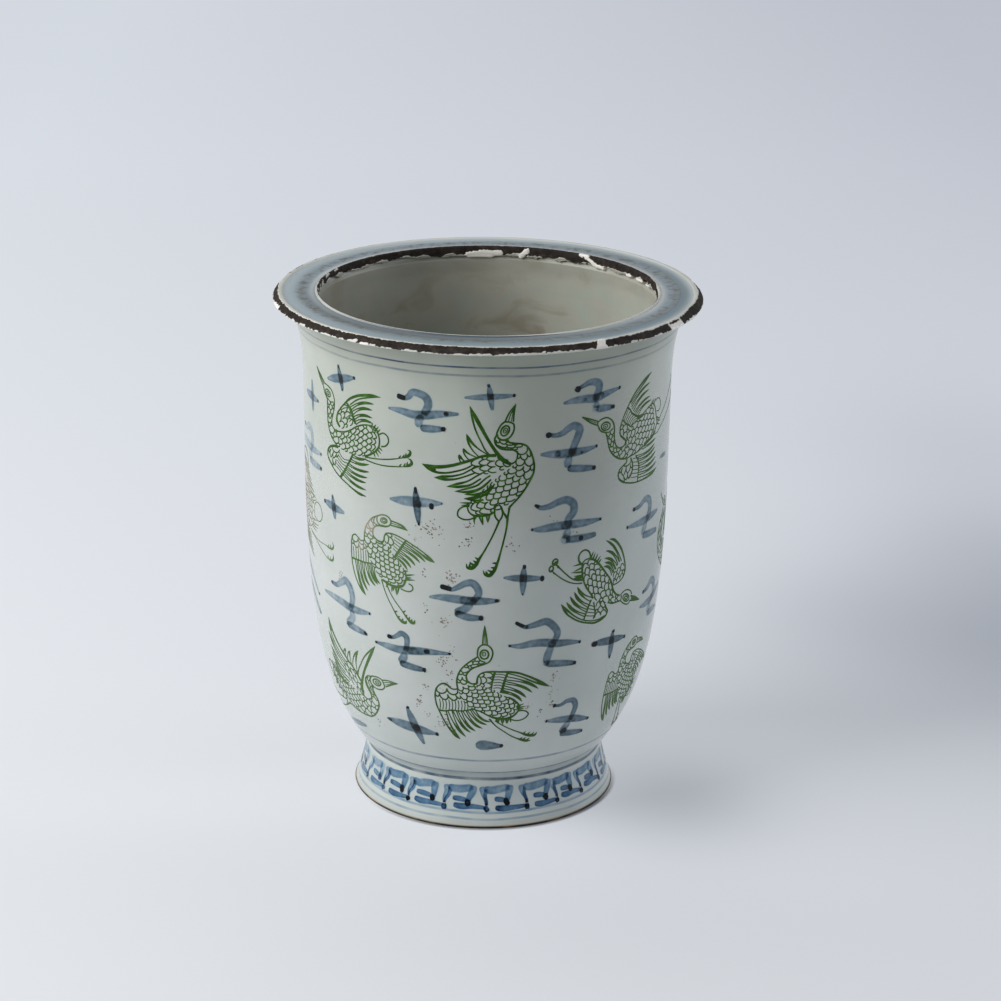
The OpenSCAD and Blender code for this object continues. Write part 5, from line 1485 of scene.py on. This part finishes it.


# Green copper enamel: thick and dark where the brush was full, worn through to a pinkish stain at a nape. On
# the crane at the left edge, the same stain colour and a weak green are painted reflection.
crane_enamel, tree, shader, place = blank("raised_copper_green_enamel")
full = add(tree, "TexNoise", {"Vector": place, "Scale": 1 / (7 * MM), "Detail": 4.0})
green = add(tree, "ValToRGB", [full], [(0.3, "#1d430a"), (0.52, "#2a5313"), (0.72, "#447024")])
weak = add(tree, "Attribute", attribute_name="thin").outputs["Fac"]
green = add(tree, "MixRGB", [weak, green, linear("#5b7a4a")])
worn_and_reflected = add(tree, "Attribute", attribute_name="worn_and_reflected").outputs["Fac"]
wire(shader, {"Base Color": add(tree, "MixRGB", [worn_and_reflected, green, linear("#b7a596")]),
              "Specular IOR Level": 0.12})
sheen = add(tree, "MapRange", [full, 0, 1, 0.28, 0.42])
wire(shader, {"Roughness": sheen})


def enamel(name, strokes, centre=(0, 0), to=None, turn=0.0, stretch=(1.0, 1.0), worn_and_reflected=(), thin=0.0,
           heavy=1.0):
    """Lays a crane's lines as raised enamel. A copy is turned about its centre, stretched and moved.
    Thin is how weak its green is, and heavy how broad its lines are."""
    sheet = new_sheet()
    c, d = math.cos(math.radians(turn)), math.sin(math.radians(turn))
    to = centre if to is None else to

    def wear_and_reflection(ss, zz):
        total = np.zeros(ss.shape)
        for s, z, reach, depth in worn_and_reflected:
            total = np.maximum(total, depth * np.exp(-((ss - s) ** 2 + (zz - z) ** 2) / reach ** 2))
        return total

    for stroke in strokes:
        path = flow(pen(stroke), PEN_STEP)
        s, z = path[:, 0] - centre[0], path[:, 1] - centre[1]
        path[:, 0] = to[0] + (s * c - z * d) * stretch[0]
        path[:, 1] = to[1] + (s * d + z * c) * stretch[1]
        ribbon(sheet, path, np.maximum(path[:, 2] * heavy, THINNEST), (-1, 0, 1), (0.09, 0.2, 0.09),
               pot_out, WALL_R, wear_and_reflection)
    return lay_sheet(name, sheet, crane_enamel, "worn_and_reflected", thin)


# The two that are seen only in part, at the edges of the view, where the pot turns away
LEAVING = [
    [1.1, (-171, 237), (-171.5, 243), (-168, 248.5), (-161, 250), (-156, 246.5), (-155, 241),
     (-158.5, 236.5), (-165, 235), (-171, 237)],
    [0.9, (-186, 222), (-176, 220.5), (-162, 219), (-150, 219.6), (-144, 219.2, 1.8), (-139.5, 220, 2.4),
     (-137.8, 222.6, 1.6), (-139.4, 225.4, 0.4)],
    [0.9, (-182, 220.5), (-171, 218.5), (-158, 213.2), (-149, 210), (-144, 209.4, 1.8),
     (-140.3, 210.4, 2.4), (-138.6, 213, 1.6), (-139.4, 216, 0.4)],
    *spikes([((-146, 219.2), (-145, 222)), ((-142.5, 219.4), (-142, 222.6)),
             ((-147, 209.8), (-147.6, 212.6)), ((-143.4, 209.6), (-143, 212.8)),
             ((-176, 250), (-168, 254)), ((-175, 248), (-165, 251.5)), ((-176, 233), (-166, 234)),
             ((-176, 230), (-163, 231)), ((-177, 228), (-165, 228)), ((-178, 226), (-168, 225))], 1.4),
    *plumes([((-184.5 + 3.4 * k, 271 - 3.8 * k), (-212 + 4 * k, 277 - 4.4 * k),
              (-210 + 4 * k, 274 - 4.4 * k)) for k in range(6)], (0, 1.2), 1.5),
    *plumes([((-184 + 2 * k, 215 - 4.6 * k), (-207, 223 - 3.4 * k), (-207, 220.6 - 3.4 * k))
             for k in range(4)], (0, 1.0), 1.5),
    [1.2, (-172, 234), (-180, 226.5), (-190, 222.5), (-202, 221), (-214, 223), (-222, 230), (-226, 240),
     (-231, 250), (-238, 256)],
    [1.2, (-172, 246), (-184, 252), (-198, 255), (-210, 256), (-219, 259), (-226, 264), (-232, 268)],
    [1.3, (-216, 277), (-206, 282), (-196, 284, 1.8), (-188, 280, 1.4), (-184.5, 271, 0.4)],
    [1.3, (-216, 277), (-219, 268), (-214, 258)],
    *scales([(-174, 246), (-186, 252), (-200, 255), (-214, 257), (-226, 263)],
            [(-174, 234), (-186, 225), (-202, 222), (-219, 228), (-232, 250)], 11, 5),
    oval(-237.5, 264, 10, 7.6, 35, 1.2), oval(-238, 264.4, 4.4, 3, 35, 0.9), blot(-238, 264.4, 1.6, 1.2),
    [1.1, (-241, 268.6), (-246, 275), (-251, 283, 0.5)],
    [1.1, (-242.4, 265), (-247, 271), (-251, 283, 0.5)],
]

ARRIVING = [
    [(178, 256.5, 0.6), (183, 251), (188, 246.8)], [(178, 256.5, 0.6), (184, 248.6), (189, 243)],
    oval(194, 244.6, 9.6, 7, -30, 1.1), oval(194.4, 244.4, 4.2, 2.8, -30, 0.9),
    blot(194.4, 244.4, 1.6, 1.2),
    [1.2, (190, 241.6), (186, 237), (181, 232.5), (177.2, 226), (176, 218), (178, 210), (182.5, 203),
     (190, 196.5), (200, 190), (212, 186.4), (222, 188, 1.6)],
    [1.1, (198.4, 241.6), (197, 235.5), (192, 229.5), (188.5, 223), (188, 215.5), (192, 208)],
    *scales([(187.6, 239), (179, 229), (176.2, 218), (179.6, 208), (188, 198.4), (202, 189.6), (216, 187)],
            [(197.4, 238), (190.6, 229), (188.4, 220), (193, 214), (202, 211), (214, 207), (224, 199)],
            11, 4.8),
    [1.3, (192, 209), (197, 218, 1.6), (203, 232, 1.7), (211, 244, 2), (222, 254, 0.4)],
    [1.1, (201, 219), (209, 236), (222, 254, 0.4)],
    *plumes([((228, 248), (205, 230), (204, 226)), ((232, 241), (203.4, 224), (203, 221)),
             ((234.6, 233), (202, 218), (203, 215)), ((234, 225), (204, 213), (206, 211))], (-1, 2)),
    [1.2, (222, 188, 1.6), (226, 193), (227, 200), (223, 206), (214, 209)],
    [1.0, (226, 199), (231, 202), (235, 199), (234, 194), (229, 191.6), (225, 192)],
    [0.9, (210, 186.6), (218, 179), (228, 173), (236, 170, 2), (240, 171, 2.2), (240.4, 174, 0.4)],
    [0.9, (215, 186.2), (223, 180.4), (232, 177), (240, 177, 2.2), (243.4, 179.6, 0.4)],
]

enamel("crane_gliding", GLIDING, thin=0.16, heavy=1.02)
enamel("crane_rising", RISING, heavy=1.08)
enamel("crane_wheeling", WHEELING, thin=0.3, heavy=0.9)
enamel("crane_settling", SETTLING, worn_and_reflected=[(-95, 251, 7, 0.75), (-84, 260, 5, 0.3), (-104, 232, 5, 0.5)],
       thin=0.8, heavy=1.02)
enamel("crane_diving", DIVING, thin=0.35, heavy=1.05)
enamel("crane_turning", TURNING, thin=0.25, heavy=1.05)
enamel("crane_rising_low", RISING, (13.4, 335.8), (-97, 120.4), -59, (1.04, 1.0), thin=0.85, heavy=0.95)
enamel("crane_settling_low", SETTLING, (-80.8, 257.7), (147, 142.8), 0, (0.95, 0.99), thin=0.6,
       heavy=0.95)
# On the leaving crane, at the left edge, the weak green and the wide stained patches are painted reflection,
# where the glaze turns away
enamel("crane_leaving", LEAVING, worn_and_reflected=[(-214, 240, 44, 0.8), (-200, 262, 26, 0.7)], thin=0.95, heavy=0.8)
enamel("crane_arriving", ARRIVING, thin=0.85, heavy=0.7)

# The side away from the view bears the same painting, with the cranes turned the other way. The clouds
# and crosses are moved round, all but the last cloud, which reaches there itself.
BEHIND = math.pi * WALL_R
for name, lines, (s, z), thin in (("gliding", GLIDING, (-106, 316), 0.2),
                                  ("rising", RISING, (-6, 289), 0.1),
                                  ("wheeling", WHEELING, (122, 319.5), 0.3),
                                  ("diving", DIVING, (97, 207), 0.35),
                                  ("settling", SETTLING, (-76, 220), 0.7),
                                  ("turning", TURNING, (7, 130.5), 0.3)):
    enamel(f"crane_{name}_behind", lines, (s, z), (BEHIND - s, z), stretch=(-1, 1), thin=thin)
enamel("crane_rising_low_behind", RISING, (13.4, 335.8), (BEHIND + 97, 120.4), -59, (-1.04, 1.0),
       thin=0.7)
enamel("crane_settling_low_behind", SETTLING, (-80.8, 257.7), (BEHIND - 147, 142.8), 0, (-0.95, 0.99),
       thin=0.5)
for kind, figures in (("cloud", CLOUDS[:-1]), ("cross", CROSSES)):
    for number, strokes in enumerate(figures, 1):
        middle = np.mean([point[0] for stroke in strokes for point in stroke])
        moved = [[(s + BEHIND - 2 * middle, *rest) for s, *rest in stroke] for stroke in strokes]
        brushed(f"blue_{kind}_behind_{number:02d}", moved, slate_cobalt)


# The pits: fine reddish-brown specks in loose drifts, 0.6 to 1.6 mm across. Iron in the clay has burst
# through the glaze there in the firing.
pit_brown, tree, shader, place = blank("iron_pits_in_glaze")
rusty = add(tree, "TexNoise", {"Vector": place, "Scale": 1 / (9 * MM), "Detail": 2.0})
wire(shader, {"Base Color": add(tree, "ValToRGB", [rusty], [(0.35, "#5b443c"), (0.65, "#8f7a6e")]),
              "Roughness": 0.6})
# Middle of each drift, its reach round and up, and its count
DRIFTS = [(-42, 256, 9, 7, 39), (-14, 262, 4, 3, 12), (-14, 250, 4, 4, 14), (-26, 220, 6, 5, 15),
          (-32, 184, 5, 6, 15), (-33, 152, 5, 5, 14), (-128.6, 203, 4, 5, 12), (-28, 141, 4, 4, 10),
          (-25, 158, 3, 5, 9), (-35, 97, 8, 6, 39), (-32, 130, 4, 5, 12), (58, 137, 4, 5, 14),
          (56, 124, 4, 4, 10), (58, 113, 3, 4, 9), (48, 106, 3, 4, 9), (38, 111, 3, 4, 9),
          (52, 262, 3, 5, 10), (70, 252, 5, 6, 9), (-58, 243, 6, 6, 12), (20, 247, 4, 6, 9),
          (-26, 219, 3, 3, 14), (-33, 184, 3, 4, 9), (-33, 152, 3, 3, 10), (-56, 113, 4, 4, 18),
          (-49, 102, 4, 2, 6), (-47, 222, 2, 4, 6), (-47, 194, 2, 4, 6), (-49, 127, 3, 3, 8),
          (-103, 84, 4, 4, 8)]
sheet = new_sheet()
for s, z, wide, high, count in DRIFTS:
    for _ in range(count):
        a, b, r = rng.gauss(s, wide * 0.6), rng.gauss(z, high * 0.6), rng.uniform(0.3, 0.78)
        spot = np.array([(a - r, b, 0.2), (a, b, 2 * r), (a + r, b, 0.2)])
        ribbon(sheet, spot, spot[:, 2], (-1, 1), (0.04, 0.04), pot_out, WALL_R)
lay_sheet("iron_pits", sheet, pit_brown)
